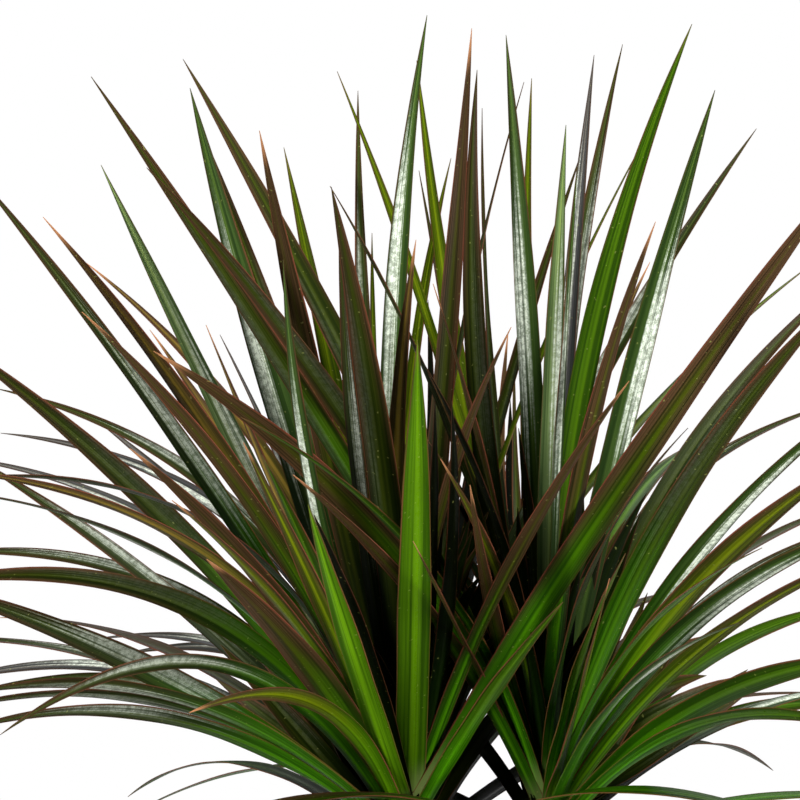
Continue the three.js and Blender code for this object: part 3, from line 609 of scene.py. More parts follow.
class Crown:
    """The plant's leaves: as seen, by the spiral, and the short ones in each head's heart."""

    def __init__(self) -> None:
        """Place the leaves, root them, bend them and clear them."""
        draw = seeded_draws(SPIRAL_SEED)
        self.leaves = [self._seen(row) for row in SEEN_LEAVES]
        for head in Head:
            self.leaves += self._spiral(head, draw)
            self.leaves += self._spears(head, draw)
        for head in Head:
            self._plant(head)
        for leaf in self.leaves:
            leaf.set_bend()
        self.curves = Curves(self.leaves)
        self._clear()
        self._order()
        self.inner = self._inner(Head.LEFT) + self._inner(Head.RIGHT)
        self.inner_curves = Curves(self.inner)

    @staticmethod
    def _heart(head: Head) -> np.ndarray:
        """Give the middle of a head."""
        return head_axis(head) + np.array([0, 0, (HEAD_BOTTOM + HEAD_TOP) / 2])

    def _seen(self, row: SeenLeaf) -> Leaf:
        """Place a leaf from where its tip is seen and from its real length.

        Args:
            row: what the photograph shows of the leaf.

        Returns:
            The leaf, not yet rooted or bent.
        """
        right, up = pixel_to_plane(row.tip)
        flat = from_picture(right, up, 0) - self._heart(row.head)
        slope = VIEW + VIEW_RIGHT * (right / VIEW_DISTANCE) + VIEW_UP * (up / VIEW_DISTANCE)
        a, b = float(slope @ slope), float(flat @ slope)
        reach = row.length * LEAF_CHORD
        square = b * b - a * (float(flat @ flat) - reach * reach)
        depth = -b / a if square <= 0 else (-b + row.lean * math.sqrt(square)) / a
        seen = row.seen_width * PIXEL * (1 + depth / 2 / VIEW_DISTANCE)
        width = min(LEAF_MAX_WIDTH, max(LEAF_MIN_WIDTH, seen * LEAF_OVER_SEEN_WIDTH))
        tip = from_picture(right, up, depth)
        face = min(1.0, seen / width)
        return Leaf(row.head, tip, width, row.tone, face=face, middle=row.middle)

    def _by_rule(
        self, head: Head, azimuth: float, elevation: float, length: float, width: float, tone: Tone,
        arch: float = SPIRAL_ARCH,
    ) -> Leaf:
        """Place a leaf by its tip's direction and its length.

        Args:
            head: the cane that it grows on.
            azimuth: where its tip lies, in degrees.
            elevation: how high its tip lies over level, in degrees.
            length: its length in mm.
            width: its greatest width in mm.
            tone: its colour.
            arch: how much steeper it rises from its root, in degrees.

        Returns:
            The leaf, not yet rooted or bent.
        """
        tip = self._heart(head) + direction(azimuth, elevation) * length * LEAF_CHORD
        arch = min(LEAF_STEEPEST_ARCH, elevation + arch)
        return Leaf(head, tip, width, tone, azimuth=azimuth, arch=arch, length=length)

    @staticmethod
    def _keep_off(head: Head, azimuth: float) -> float:
        """Turn an azimuth away from the direction to the other head.

        Args:
            head: the cane that the leaf grows on.
            azimuth: the leaf's azimuth in degrees.

        Returns:
            The azimuth, or the nearest one that keeps off.
        """
        towards = 0.0 if head == Head.LEFT else HALF_TURN
        off = math.fmod(azimuth - towards + 1.5 * FULL_TURN, FULL_TURN) - HALF_TURN
        if abs(off) >= KEEP_OFF_OTHER_HEAD:
            return azimuth
        return towards + (-KEEP_OFF_OTHER_HEAD if off < 0 else KEEP_OFF_OTHER_HEAD)

    def _spiral(self, head: Head, draw: Callable[[], float]) -> list[Leaf]:
        """Grow the leaves of the spiral, from the youngest to the oldest.

        Args:
            head: the cane that they grow on.
            draw: the source of random numbers.

        Returns:
            The leaves, not yet rooted or bent.
        """
        leaves = []
        for k in range(SPIRAL_LEAVES):
            turn = k * GOLDEN_ANGLE + SPIRAL_TURN * head + SPIRAL_TURN_SPREAD * (draw() - 0.5)
            azimuth = self._keep_off(head, math.fmod(turn, FULL_TURN))
            behind = max(0.0, math.sin(math.radians(azimuth)))
            highest = SPIRAL_HIGHEST_SIDE
            highest += (SPIRAL_HIGHEST_BACK - SPIRAL_HIGHEST_SIDE) * behind * behind
            age = k / (SPIRAL_LEAVES - 1)
            elevation = highest + (SPIRAL_LOWEST - highest) * age
            elevation += SPIRAL_HEIGHT_SPREAD * (draw() - 0.5)
            length = SPIRAL_LENGTH.at(draw())
            width = SPIRAL_WIDTH.at(draw())
            tone = SPIRAL_TONES[k % len(SPIRAL_TONES)]
            leaves.append(self._by_rule(head, azimuth, elevation, length, width, tone))
        return leaves

    def _spears(self, head: Head, draw: Callable[[], float]) -> list[Leaf]:
        """Grow the short upright leaves in the middle of a head.

        Args:
            head: the cane that they grow on.
            draw: the source of random numbers.

        Returns:
            The leaves, not yet rooted or bent.
        """
        leaves = []
        for k in range(SPEARS):
            turn = k * GOLDEN_ANGLE + SPEAR_TURN + SPEAR_TURN_SPREAD * draw()
            azimuth = math.fmod(turn, FULL_TURN)
            elevation = SPEAR_ELEVATION.at(draw())
            length = SPEAR_LENGTH.at(draw())
            width = SPEAR_WIDTH.at(draw())
            tone = OLIVE if k % 2 else DARK
            leaves.append(self._by_rule(head, azimuth, elevation, length, width, tone))
        return leaves

    def _inner(self, head: Head) -> list[Leaf]:
        """Grow the short shaded leaves in a head's heart, which the CAD part leaves out.

        Most stand steeply. The last ones lean out and back, and close the gaps seen there.
        The steep ones' near-black colour and the low ones' darkened feet are painted shade.

        Args:
            head: the cane that they grow on.

        Returns:
            The leaves, rooted and bent.
        """
        draws = random.Random(INNER_SEED + head)
        away = -1 if head == Head.LEFT else 1
        leaves = []
        for k in range(INNER_LEAVES + INNER_LOW_LEAVES):
            azimuth = math.fmod(k * GOLDEN_ANGLE + draws.uniform(*INNER_TURN), FULL_TURN)
            elevation, length = draws.uniform(*INNER_ELEVATION), draws.uniform(*INNER_LENGTH)
            arch, outermost, tone = SPIRAL_ARCH, INNER_OUTERMOST, INNER
            if k >= INNER_LEAVES:
                azimuth = HALF_TURN / 2 - away * draws.uniform(*INNER_LOW_TURN)
                elevation = draws.uniform(*INNER_LOW_ELEVATION)
                length = draws.uniform(*INNER_LOW_LENGTH)
                arch, outermost, tone = INNER_LOW_ARCH, INNER_LOW_OUTERMOST, DARK
            width, height = draws.uniform(*INNER_WIDTH), draws.uniform(*INNER_ROOT_HEIGHT)
            leaf = self._by_rule(head, azimuth, elevation, length, width, tone, arch)
            leaf.face = INNER_FACE
            outward = min(outermost, max(-INNER_PAST_MIDDLE, away * leaf.tip[0]))
            leaf.tip[0] = away * outward
            if outward < INNER_PAST_MIDDLE:
                leaf.tip[1] = away * max(INNER_APART, abs(leaf.tip[1]))
            foot = direction(azimuth, 0) * INNER_ROOT_RADIUS + np.array([0, 0, height])
            leaf.root = head_axis(head) + foot
            leaf.set_bend()
            leaves.append(leaf)
        return leaves

    def _plant(self, head: Head) -> None:
        """Root a head's leaves: the steeper a leaf stands, the higher and younger it is.

        Args:
            head: the cane that they grow on.
        """
        axis = head_axis(head)

        def steepness(leaf: Leaf) -> float:
            """Give the angle at which a leaf's tip stands over the head's bottom."""
            across = math.hypot(leaf.tip[0] - axis[0], leaf.tip[1] - axis[1])
            return math.atan2(leaf.tip[2] - HEAD_BOTTOM, across)

        ranked = sorted((leaf for leaf in self.leaves if leaf.head == head), key=steepness)
        lowest, highest = HEAD_BOTTOM + ROOT_MARGIN, HEAD_TOP - ROOT_MARGIN
        for rank, leaf in enumerate(ranked):
            z = lowest + (highest - lowest) * (rank / (len(ranked) - 1))
            azimuth = math.atan2(leaf.tip[1] - axis[1], leaf.tip[0] - axis[0])
            share = (z - HEAD_BOTTOM) / (HEAD_TOP - HEAD_BOTTOM)
            radius = HEAD_BOTTOM_RADIUS + (HEAD_TOP_RADIUS - HEAD_BOTTOM_RADIUS) * share
            radius = max(ROOT_LEAST_RADIUS, radius - LEAF_SINK)
            out = np.array([radius * math.cos(azimuth), radius * math.sin(azimuth), z])
            leaf.root = axis + out

    def _clear(self) -> None:
        """Bend the leaves clear of each other where they pass."""
        curves = self.curves
        heads = np.array([leaf.head for leaf in self.leaves])
        seen = np.array([leaf.middle is not None for leaf in self.leaves])
        first, second = np.triu_indices(len(self.leaves), 1)
        together = heads[first] == heads[second]
        start = np.where(together, CLEAR_FROM, 1)
        air = np.where(together, LEAF_CLEARANCE, HEADS_CLEARANCE)
        steps = np.arange(CLEAR_STEPS)
        shares = np.arange(CLEAR_STEPS + 1) / CLEAR_STEPS
        for _ in range(CLEAR_PASSES):
            points, sides = curves.points(shares), curves.across(shares)
            halves = curves.half_widths(shares)
            # Only the pairs whose boxes meet, and then the stretches near enough, are measured.
            low = points.min(1) - LEAF_MAX_WIDTH / 2
            high = points.max(1) + LEAF_MAX_WIDTH / 2
            boxes = ((low[first] <= high[second]) & (low[second] <= high[first])).all(-1)
            pairs = np.nonzero(boxes)[0]
            i, j = first[pairs], second[pairs]
            apart = points[i][:, :-1, None, :] - points[j][:, None, :-1, :]
            near = (apart * apart).sum(-1) <= CLEAR_REACH_SQUARED
            near &= (steps[None, :, None] >= start[pairs][:, None, None])
            near &= (steps[None, None, :] >= start[pairs][:, None, None])
            pair, m, n = np.nonzero(near)
            a, b = i[pair], j[pair]
            p, q = points[a, m], points[b, n]
            dp, dq = points[a, m + 1] - p, points[b, n + 1] - q
            s, u = nearest_shares(p, dp, q, dq)
            gap = p + dp * s[:, None] - q - dq * u[:, None]
            distance = np.linalg.norm(gap, axis=-1)
            gap = unit(np.where(distance[:, None] < TOUCHING, VIEW, gap))
            reach = halves[a, m] * np.abs((sides[a, m] * gap).sum(-1))
            reach = reach + halves[b, n] * np.abs((sides[b, n] * gap).sum(-1))
            lack = reach + air[pairs][pair] - distance
            # A pair is pushed once a pass, at the place where it lacks the most air.
            worst = np.zeros(len(pairs))
            np.maximum.at(worst, pair, lack)
            hit = np.nonzero((lack > 0) & (lack == worst[pair]))[0]
            _, once = np.unique(pair[hit], return_index=True)
            hit = hit[once]
            bend_push = np.zeros((len(self.leaves), 3))
            tip_push = np.zeros((len(self.leaves), 3))
            for leaf, t, sign in (
                (a[hit], (m[hit] + s[hit]) / CLEAR_STEPS, CLEAR_PUSH),
                (b[hit], (n[hit] + u[hit]) / CLEAR_STEPS, -CLEAR_PUSH),
            ):
                at_bend, at_tip = 2 * t * (1 - t), t * t
                give = np.maximum(CLEAR_LEAST_GIVE, at_bend**2 + at_tip**2)
                share = sign * lack[hit] / give
                # A seen leaf gives way in depth, so that it hardly moves in the picture.
                deep = (gap[hit] @ VIEW)[:, None] * VIEW
                slid = gap[hit] * SEEN_SLIDE + deep * (1 - SEEN_SLIDE)
                push = np.where(seen[leaf][:, None], slid, gap[hit])
                np.add.at(bend_push, leaf, push * (share * at_bend)[:, None])
                np.add.at(tip_push, leaf, push * (share * at_tip)[:, None])
            curves.bend = curves.bend + bend_push[:, None, :]
            curves.tip = curves.tip + tip_push[:, None, :]

    def _order(self) -> None:
        """Move a few bends in depth, so that a leaf passes before or behind as it is seen to."""
        for k, row in enumerate(SEEN_LEAVES):
            back = BENT_BACK.get(row.tip, 0.0)
            right, up, depth = to_picture(self.curves.bend[k, 0])
            self.curves.bend[k, 0] = from_picture(right, up, depth + back)


# ---- materials ----


class Ramp(NamedTuple):
    """A smooth way from start to end, taken while a value goes from low to high."""

    low: float
    high: float
    start: float = 0.0
    end: float = 1.0


class Noise(NamedTuple):
    """A noise's scale, how many finer layers it has and how strong they are."""

    scale: float
    detail: float = 3.0
    rough: float = 0.55


class Relief(NamedTuple):
    """How strongly a height tilts the surface, and how deep it is in metres."""

    strength: float
    depth: float


class Graph:
    """Short ways to add and join the nodes of a material, a world or a node group."""

    def __init__(self, tree: bpy.types.NodeTree) -> None:
        """Take the tree that the nodes go into.

        Args:
            tree: the node tree of a material, a world or a group.
        """
        self.tree = tree

    def node(self, kind: str, inputs: dict | None = None, **settings: object) -> bpy.types.Node:
        """Add a node.

        Args:
            kind: the node's Blender type.
            inputs: socket name or number to a value or to the socket that feeds it.
            **settings: properties of the node itself.

        Returns:
            The new node.
        """
        made = self.tree.nodes.new(kind)
        for name, value in settings.items():
            setattr(made, name, value)
        for name, value in (inputs or {}).items():
            self.feed(made.inputs[name], value)
        return made

    def feed(self, socket: Socket, value: object) -> None:
        """Set a socket, or link it to the socket that feeds it.

        Args:
            socket: the input.
            value: a number, a colour, or the output to link.
        """
        if isinstance(value, Socket):
            self.tree.links.new(value, socket)
        elif isinstance(value, tuple) and len(value) == 3 and socket.type == "RGBA":
            socket.default_value = (*value, 1.0)
        else:
            socket.default_value = value

    def math(self, operation: str, a: object, b: object = 0.0) -> Socket:
        """Add a Math node and give its result."""
        return self.node("ShaderNodeMath", {0: a, 1: b}, operation=operation).outputs[0]

    def plus(self, a: object, b: object) -> Socket:
        """Add two values."""
        return self.math("ADD", a, b)

    def minus(self, a: object, b: object) -> Socket:
        """Take the second value from the first."""
        return self.math("SUBTRACT", a, b)

    def times(self, a: object, b: object) -> Socket:
        """Multiply two values."""
        return self.math("MULTIPLY", a, b)

    def mix(self, share: object, a: object, b: object, blend: str = "MIX") -> Socket:
        """Mix two colours and give the result.

        Args:
            share: how much of b shows, from 0 to 1.
            a: the colour under it.
            b: the colour over it.
            blend: how b goes over a.

        Returns:
            The mixed colour.
        """
        made = self.node(
            "ShaderNodeMix",
            {0: share, 6: a, 7: b},
            data_type="RGBA",
            blend_type=blend,
            clamp_factor=True,
        )
        return made.outputs[2]

    def ease(self, value: object, ramp: Ramp) -> Socket:
        """Carry a value along a ramp.

        Args:
            value: the value to carry.
            ramp: from where to where.

        Returns:
            The value on the ramp.
        """
        made = self.node(
            "ShaderNodeMapRange",
            {0: value, 1: ramp.low, 2: ramp.high, 3: ramp.start, 4: ramp.end},
            interpolation_type="SMOOTHSTEP",
        )
        return made.outputs[0]

    def noise(self, vector: object, kind: Noise) -> Socket:
        """Add a noise and give its value."""
        inputs = {"Scale": kind.scale, "Detail": kind.detail, "Roughness": kind.rough}
        return self.node("ShaderNodeTexNoise", {"Vector": vector, **inputs}).outputs[0]

    def bump(self, height: object, kind: Relief) -> Socket:
        """Turn a height into a normal."""
        inputs = {"Height": height, "Strength": kind.strength, "Distance": kind.depth}
        return self.node("ShaderNodeBump", inputs).outputs[0]

    def place(self) -> Socket:
        """Give the place on the piece, in its own frame."""
        return self.node("ShaderNodeTexCoord").outputs["Object"]


def grain_group() -> bpy.types.NodeTree:
    """Build the grain that every finish of the plant and its pot carries.

    Returns:
        A group from a vector and a size to a speckle mask and an even height.
    """
    name = "fine_grain"
    if name in bpy.data.node_groups:
        return bpy.data.node_groups[name]
    detail, coarser, speckle, evenly = 4, 0.23, Ramp(0.52, 0.7), 0.5
    tree = bpy.data.node_groups.new(name, "ShaderNodeTree")
    tree.interface.new_socket("Vector", in_out="INPUT", socket_type="NodeSocketVector")
    tree.interface.new_socket("Size", in_out="INPUT", socket_type="NodeSocketFloat")
    tree.interface.new_socket("Speckle", in_out="OUTPUT", socket_type="NodeSocketFloat")
    tree.interface.new_socket("Height", in_out="OUTPUT", socket_type="NodeSocketFloat")
    graph = Graph(tree)
    vector, size = graph.node("NodeGroupInput").outputs[:2]
    leave = graph.node("NodeGroupOutput")
    fine = graph.node("ShaderNodeTexNoise", {"Vector": vector, "Scale": size, "Detail": detail})
    larger = {"Vector": vector, "Scale": graph.times(size, coarser)}
    coarse = graph.node("ShaderNodeTexNoise", larger)
    height = graph.plus(fine.outputs[0], coarse.outputs[0])
    graph.feed(leave.inputs[0], graph.ease(fine.outputs[0], speckle))
    graph.feed(leave.inputs[1], graph.times(height, evenly))
    return tree


@dataclass(frozen=True)
class Finish:
    """What every finish has in common: its name and its gloss."""

    name: str
    roughness: float
    specular: float = 0.5

    def start(self) -> tuple[bpy.types.Material, Graph, bpy.types.Node]:
        """Make an empty material with its shader and output joined.

        Returns:
            The material, its graph and its shader.
        """
        material = bpy.data.materials.new(self.name)
        material.use_nodes = True
        material.node_tree.nodes.clear()
        graph = Graph(material.node_tree)
        shader = graph.node("ShaderNodeBsdfPrincipled")
        shader.inputs["Roughness"].default_value = self.roughness
        shader.inputs["Specular IOR Level"].default_value = self.specular
        output = graph.node("ShaderNodeOutputMaterial")
        graph.feed(output.inputs[0], shader.outputs[0])
        return material, graph, shader

    def grain(self, graph: Graph, vector: object, size: float) -> tuple[Socket, Socket]:
        """Place the shared grain in a material and give its speckle and its height.

        Args:
            graph: the material's graph.
            vector: the place on the piece.
            size: the scale of the grain.

        Returns:
            The speckle mask and the height.
        """
        made = graph.node("ShaderNodeGroup", node_tree=grain_group())
        graph.feed(made.inputs[0], vector)
        made.inputs[1].default_value = size
        return made.outputs[0], made.outputs[1]


class Pattern(NamedTuple):
    """A noise laid on a blade: how often it changes across and along, and how finely."""

    across: float
    along: float
    detail: float


class BladeSockets(NamedTuple):
    """What a blade's material reads: the place on the blade, its patterns and its leaf's marks.

    Across, centred goes from -1 to 1 and edge from 0 at the midrib to 1 at the margins; along
    goes from 0 at the root to 1 at the tip. Depth is over 0 for a fresh foot, and under 0 for a
    foot darkened as painted shade. The sheen mark is a painted highlight.
    """

    centred: Socket
    edge: Socket
    along: Socket
    veins: Socket
    streaks: Socket
    blotch: Socket
    grain: Socket
    colour: Socket
    depth: Socket
    maroon: Socket
    painted_sheen: Socket
    dry: Socket
    seed: Socket


@dataclass(frozen=True)
class LeafFinish(Finish):
    """A satin blade: fresh green low down, maroon towards its tip and margins, lit through."""

    fresh: Colour = (0.055, 0.230, 0.002)
    margin: Colour = (0.17, 0.048, 0.025)
    maroon: Colour = (0.076, 0.038, 0.018)
    maroon_shade: Colour = (0.016, 0.009, 0.004)
    # painted sheen: the colour of the pale painted highlight
    painted_sheen: Colour = (0.84, 0.91, 0.77)
    dry: Colour = (0.42, 0.19, 0.085)
    # painted shade: the near black that a leaf's foot is darkened to in the heart
    heart: Colour = (0.002, 0.004, 0.001)
    pale: Colour = (0.26, 0.33, 0.10)
    speck: Colour = (0.42, 0.46, 0.12)
    glow: Colour = (0.22, 0.55, 0.01)
    streak_tint: Colour = (0.20, 0.27, 0.22)
    midrib_tint: Colour = (1.75, 1.65, 1.2)
    veins: Pattern = Pattern(21.0, 2.2, 2.0)
    streaks: Pattern = Pattern(7.0, 0.9, 3.0)
    blotch: Pattern = Pattern(2.6, 2.4, 3.0)
    own_shift: float = 37.0
    grain_size: float = 1350.0
    speck_noise: Noise = Noise(520.0, 0.0)
    glow_share: float = 0.35
    through: float = 0.08
    relief: Relief = Relief(0.30, 0.0006)

    fresh_foot: Ramp = Ramp(0.24, 0.62, 1.0, 0.0)
    # painted shade: how far up the foot the darkening reaches
    painted_shade_foot: Ramp = Ramp(0.20, 0.60, 1.0, 0.0)
    pale_foot: Ramp = Ramp(0.02, 0.12, 0.7, 0.0)
    streak_dark: Ramp = Ramp(0.46, 0.58, 0.0, 0.80)
    vein_dark: Ramp = Ramp(0.42, 0.60, 0.0, 0.45)
    side_dark: Ramp = Ramp(0.30, 0.95, 0.0, 0.60)
    midrib_bright: Ramp = Ramp(0.0, 0.30, 0.55, 0.0)
    maroon_veins: Ramp = Ramp(0.38, 0.66)
    maroon_reach: Ramp = Ramp(1.42, 2.0, 0.0, 0.92)
    sheen_grain: Ramp = Ramp(0.42, 0.58, 0.40, 1.0)
    sheen_inner: Ramp = Ramp(-0.45, 0.12, 0.06, 1.0)
    sheen_outer: Ramp = Ramp(0.72, 0.98, 1.0, 0.3)
    sheen_spot: Ramp = Ramp(0.04, 0.26)
    sheen_foot: Ramp = Ramp(0.26, 0.50)
    sheen_tip: Ramp = Ramp(0.75, 1.10, 1.0, 0.1)
    sheen_veins: Ramp = Ramp(0.42, 0.56)
    sheen_streaks: Ramp = Ramp(0.46, 0.58)
    sheen_bands: Ramp = Ramp(0.02, 0.22, 0.40, 0.80)
    sheen_contrast: Ramp = Ramp(0.10, 0.74)
    specks: Ramp = Ramp(0.80, 0.84, 0.0, 0.26)
    margin_widens: Ramp = Ramp(0.55, 1.0, 0.0, 0.12)
    margin_line: Ramp = Ramp(0.92, 0.985)
    margin_blotch: Ramp = Ramp(0.35, 0.6, 0.2, 0.9)
    margin_strength: Ramp = Ramp(0.0, 0.6, 0.2, 1.0)
    margin_tip: Ramp = Ramp(0.78, 0.98, 1.0, 0.25)
    dry_leaves: Ramp = Ramp(0.25, 1.0)
    dry_end: Ramp = Ramp(0.965, 1.015)
    relief_fades: Ramp = Ramp(0.30, 0.75, 1.0, 0.03)
    gloss_from_to: Range = (0.55, 0.95)

    def build(self) -> bpy.types.Material:
        """Make the material.

        Returns:
            The leaves' material, which reads the blade's UV map and its two attributes.
        """
        material, graph, shader = self.start()
        place = graph.place()
        at = self._sockets(graph, place)
        uneven, wavers = 0.3, 0.06
        low = graph.plus(at.along, graph.times(graph.minus(at.blotch, 0.5), uneven))
        fresh = graph.math("MAXIMUM", at.depth, 0.0)
        fresh = graph.times(graph.ease(low, self.fresh_foot), fresh)
        # painted shade: a depth under 0 darkens the foot, for the shade in the heart
        painted_shade = graph.math("MAXIMUM", graph.times(at.depth, -1.0), 0.0)
        painted_shade = graph.times(graph.ease(low, self.painted_shade_foot), painted_shade)
        base = self._green(graph, graph.mix(fresh, at.colour, self.fresh), at)
        base = self._maroon(graph, base, at)
        # painted sheen: a pale painted highlight mixed into the colour
        salts_and_sheen = graph.times(self._sheen(graph, at), at.painted_sheen)
        salts_and_sheen = graph.times(salts_and_sheen, graph.ease(at.grain, self.sheen_grain))
        base = graph.mix(salts_and_sheen, base, self.painted_sheen)
        base = graph.mix(graph.ease(at.along, self.pale_foot), base, self.pale)
        dots = graph.ease(graph.noise(place, self.speck_noise), self.specks)
        base = graph.mix(dots, base, self.speck)
        base = graph.mix(self._red(graph, at), base, self.margin)
        tip = graph.plus(at.along, graph.times(at.blotch, wavers))
        dries = graph.ease(at.dry, self.dry_leaves)
        base = graph.mix(graph.times(graph.ease(tip, self.dry_end), dries), base, self.dry)
        # painted shade: darken the foot towards the near-black heart colour
        base = graph.mix(painted_shade, base, self.heart)
        graph.feed(shader.inputs["Base Color"], base)
        self._gloss(graph, shader, at)

        light = graph.mix(self.glow_share, at.colour, self.glow)
        thin = graph.node("ShaderNodeBsdfTranslucent", {"Color": light})
        both = graph.node("ShaderNodeMixShader", {0: self.through})
        graph.feed(both.inputs[1], shader.outputs[0])
        graph.feed(both.inputs[2], thin.outputs[0])
        output = next(n for n in graph.tree.nodes if n.type == "OUTPUT_MATERIAL")
        graph.feed(output.inputs[0], both.outputs[0])
        return material

    def _sockets(self, graph: Graph, place: Socket) -> BladeSockets:
        """Read the blade's map and marks, and lay the patterns on it.

        Args:
            graph: the material's graph.
            place: the place on the piece.

        Returns:
            The sockets that the finish is made from.
        """
        uv = graph.node("ShaderNodeUVMap", uv_map="blade").outputs[0]
        across, along = graph.node("ShaderNodeSeparateXYZ", {0: uv}).outputs[:2]
        own = graph.node("ShaderNodeAttribute", attribute_name="leaf_colour").outputs
        marks = graph.node("ShaderNodeAttribute", attribute_name="leaf_marks").outputs
        parts = graph.node("ShaderNodeSeparateColor", {0: marks["Color"]}).outputs
        shift = graph.times(marks["Alpha"], self.own_shift)
        centred = graph.minus(graph.times(across, 2.0), 1.0)

        def laid(pattern: Pattern) -> Socket:
            """Stretch a noise along the blade, at a place of its own on each leaf.

            Args:
                pattern: which noise.

            Returns:
                The noise's value.
            """
            x = graph.plus(graph.times(across, pattern.across), shift)
            y = graph.plus(graph.times(along, pattern.along), shift)
            spot = graph.node("ShaderNodeCombineXYZ", {0: x, 1: y, 2: shift}).outputs[0]
            return graph.noise(spot, Noise(1.0, pattern.detail))

        return BladeSockets(
            centred=centred,
            edge=graph.math("ABSOLUTE", centred),
            along=along,
            veins=laid(self.veins),
            streaks=laid(self.streaks),
            blotch=laid(self.blotch),
            grain=self.grain(graph, place, self.grain_size)[1],
            colour=own["Color"],
            depth=own["Alpha"],
            maroon=parts[0],
            painted_sheen=parts[1],
            dry=parts[2],
            seed=marks["Alpha"],
        )

    def _green(self, graph: Graph, colour: Socket, at: BladeSockets) -> Socket:
        """Streak the green lengthwise: brightest at the midrib, darkest by the margins.

        Args:
            graph: the material's graph.
            colour: the leaf's green.
            at: the blade's sockets.

        Returns:
            The streaked green.
        """
        dark = graph.mix(1.0, colour, self.streak_tint, "MULTIPLY")
        base = graph.mix(graph.ease(at.streaks, self.streak_dark), colour, dark)
        base = graph.mix(graph.ease(at.veins, self.vein_dark), base, dark)
        base = graph.mix(graph.ease(at.edge, self.side_dark), base, dark)
        bright = graph.mix(1.0, colour, self.midrib_tint, "MULTIPLY")
        return graph.mix(graph.ease(at.edge, self.midrib_bright), base, bright)

    def _maroon(self, graph: Graph, base: Socket, at: BladeSockets) -> Socket:
        """Let maroon in from the margins, further the nearer the tip and the more there is.

        Args:
            graph: the material's graph.
            base: the colour under it.
            at: the blade's sockets.

        Returns:
            The colour with its maroon.
        """
        by_edge, by_blotch = 0.50, 0.55
        reach = graph.plus(at.maroon, graph.times(at.edge, by_edge))
        reach = graph.plus(reach, graph.times(at.blotch, by_blotch))
        reach = graph.plus(reach, at.along)
        shade = graph.mix(graph.ease(at.veins, self.maroon_veins), self.maroon, self.maroon_shade)
        return graph.mix(graph.ease(reach, self.maroon_reach), base, shade)

    def _sheen(self, graph: Graph, at: BladeSockets) -> Socket:
        """Give the painted sheen: over one side and the midrib, brightest at one spot along.

        Args:
            graph: the material's graph.
            at: the blade's sockets.

        Returns:
            How much painted sheen shows, from 0 to 1.
        """
        spread, scatter, first_spot = 7.3, 0.2, 0.54
        off_spot, frayed, in_veins = 0.55, 0.2, 0.45
        side = graph.times(at.centred, graph.math("SIGN", graph.minus(at.seed, 0.5)))
        share = graph.ease(side, self.sheen_inner)
        share = graph.times(share, graph.ease(side, self.sheen_outer))
        spot = graph.math("FRACT", graph.times(at.seed, spread))
        spot = graph.plus(graph.times(spot, scatter), first_spot)
        away = graph.math("ABSOLUTE", graph.minus(at.along, spot))
        fades = graph.minus(1.0, graph.times(graph.ease(away, self.sheen_spot), off_spot))
        share = graph.times(share, fades)
        share = graph.times(share, graph.ease(at.along, self.sheen_foot))
        far = graph.plus(at.along, graph.times(at.streaks, frayed))
        share = graph.times(share, graph.ease(far, self.sheen_tip))
        thin = graph.minus(1.0, graph.times(graph.ease(at.veins, self.sheen_veins), in_veins))
        bands = graph.ease(away, self.sheen_bands)
        bands = graph.times(graph.ease(at.streaks, self.sheen_streaks), bands)
        share = graph.times(share, thin)
        share = graph.times(share, graph.minus(1.0, bands))
        return graph.ease(share, self.sheen_contrast)

    def _red(self, graph: Graph, at: BladeSockets) -> Socket:
        """Give the red-brown line along the margins, broken up and fading at the tip.

        Args:
            graph: the material's graph.
            at: the blade's sockets.

        Returns:
            How much of the line shows, from 0 to 1.
        """
        rim = graph.plus(at.edge, graph.ease(at.along, self.margin_widens))
        red = graph.times(
            graph.ease(rim, self.margin_line), graph.ease(at.blotch, self.margin_blotch)
        )
        red = graph.times(red, graph.ease(at.dry, self.margin_strength))
        return graph.times(red, graph.ease(at.along, self.margin_tip))

    def _gloss(self, graph: Graph, shader: bpy.types.Node, at: BladeSockets) -> None:
        """Vary the roughness by streak and grain, and raise the veins.

        Args:
            graph: the material's graph.
            shader: the blade's shader.
            at: the blade's sockets.
        """
        glossier, duller, grain_gloss = 0.07, 0.13, 0.5
        vein_relief, grain_relief = 0.7, 0.05
        gloss = graph.plus(at.streaks, graph.times(at.grain, grain_gloss))
        least, most = self.roughness - glossier, self.roughness + duller
        rough = Ramp(*self.gloss_from_to, least, most)
        graph.feed(shader.inputs["Roughness"], graph.ease(gloss, rough))
        relief = graph.plus(graph.times(at.veins, vein_relief), at.streaks)
        relief = graph.plus(relief, graph.times(at.grain, grain_relief))
        relief = graph.times(relief, graph.ease(at.along, self.relief_fades))
        graph.feed(shader.inputs["Normal"], graph.bump(relief, self.relief))


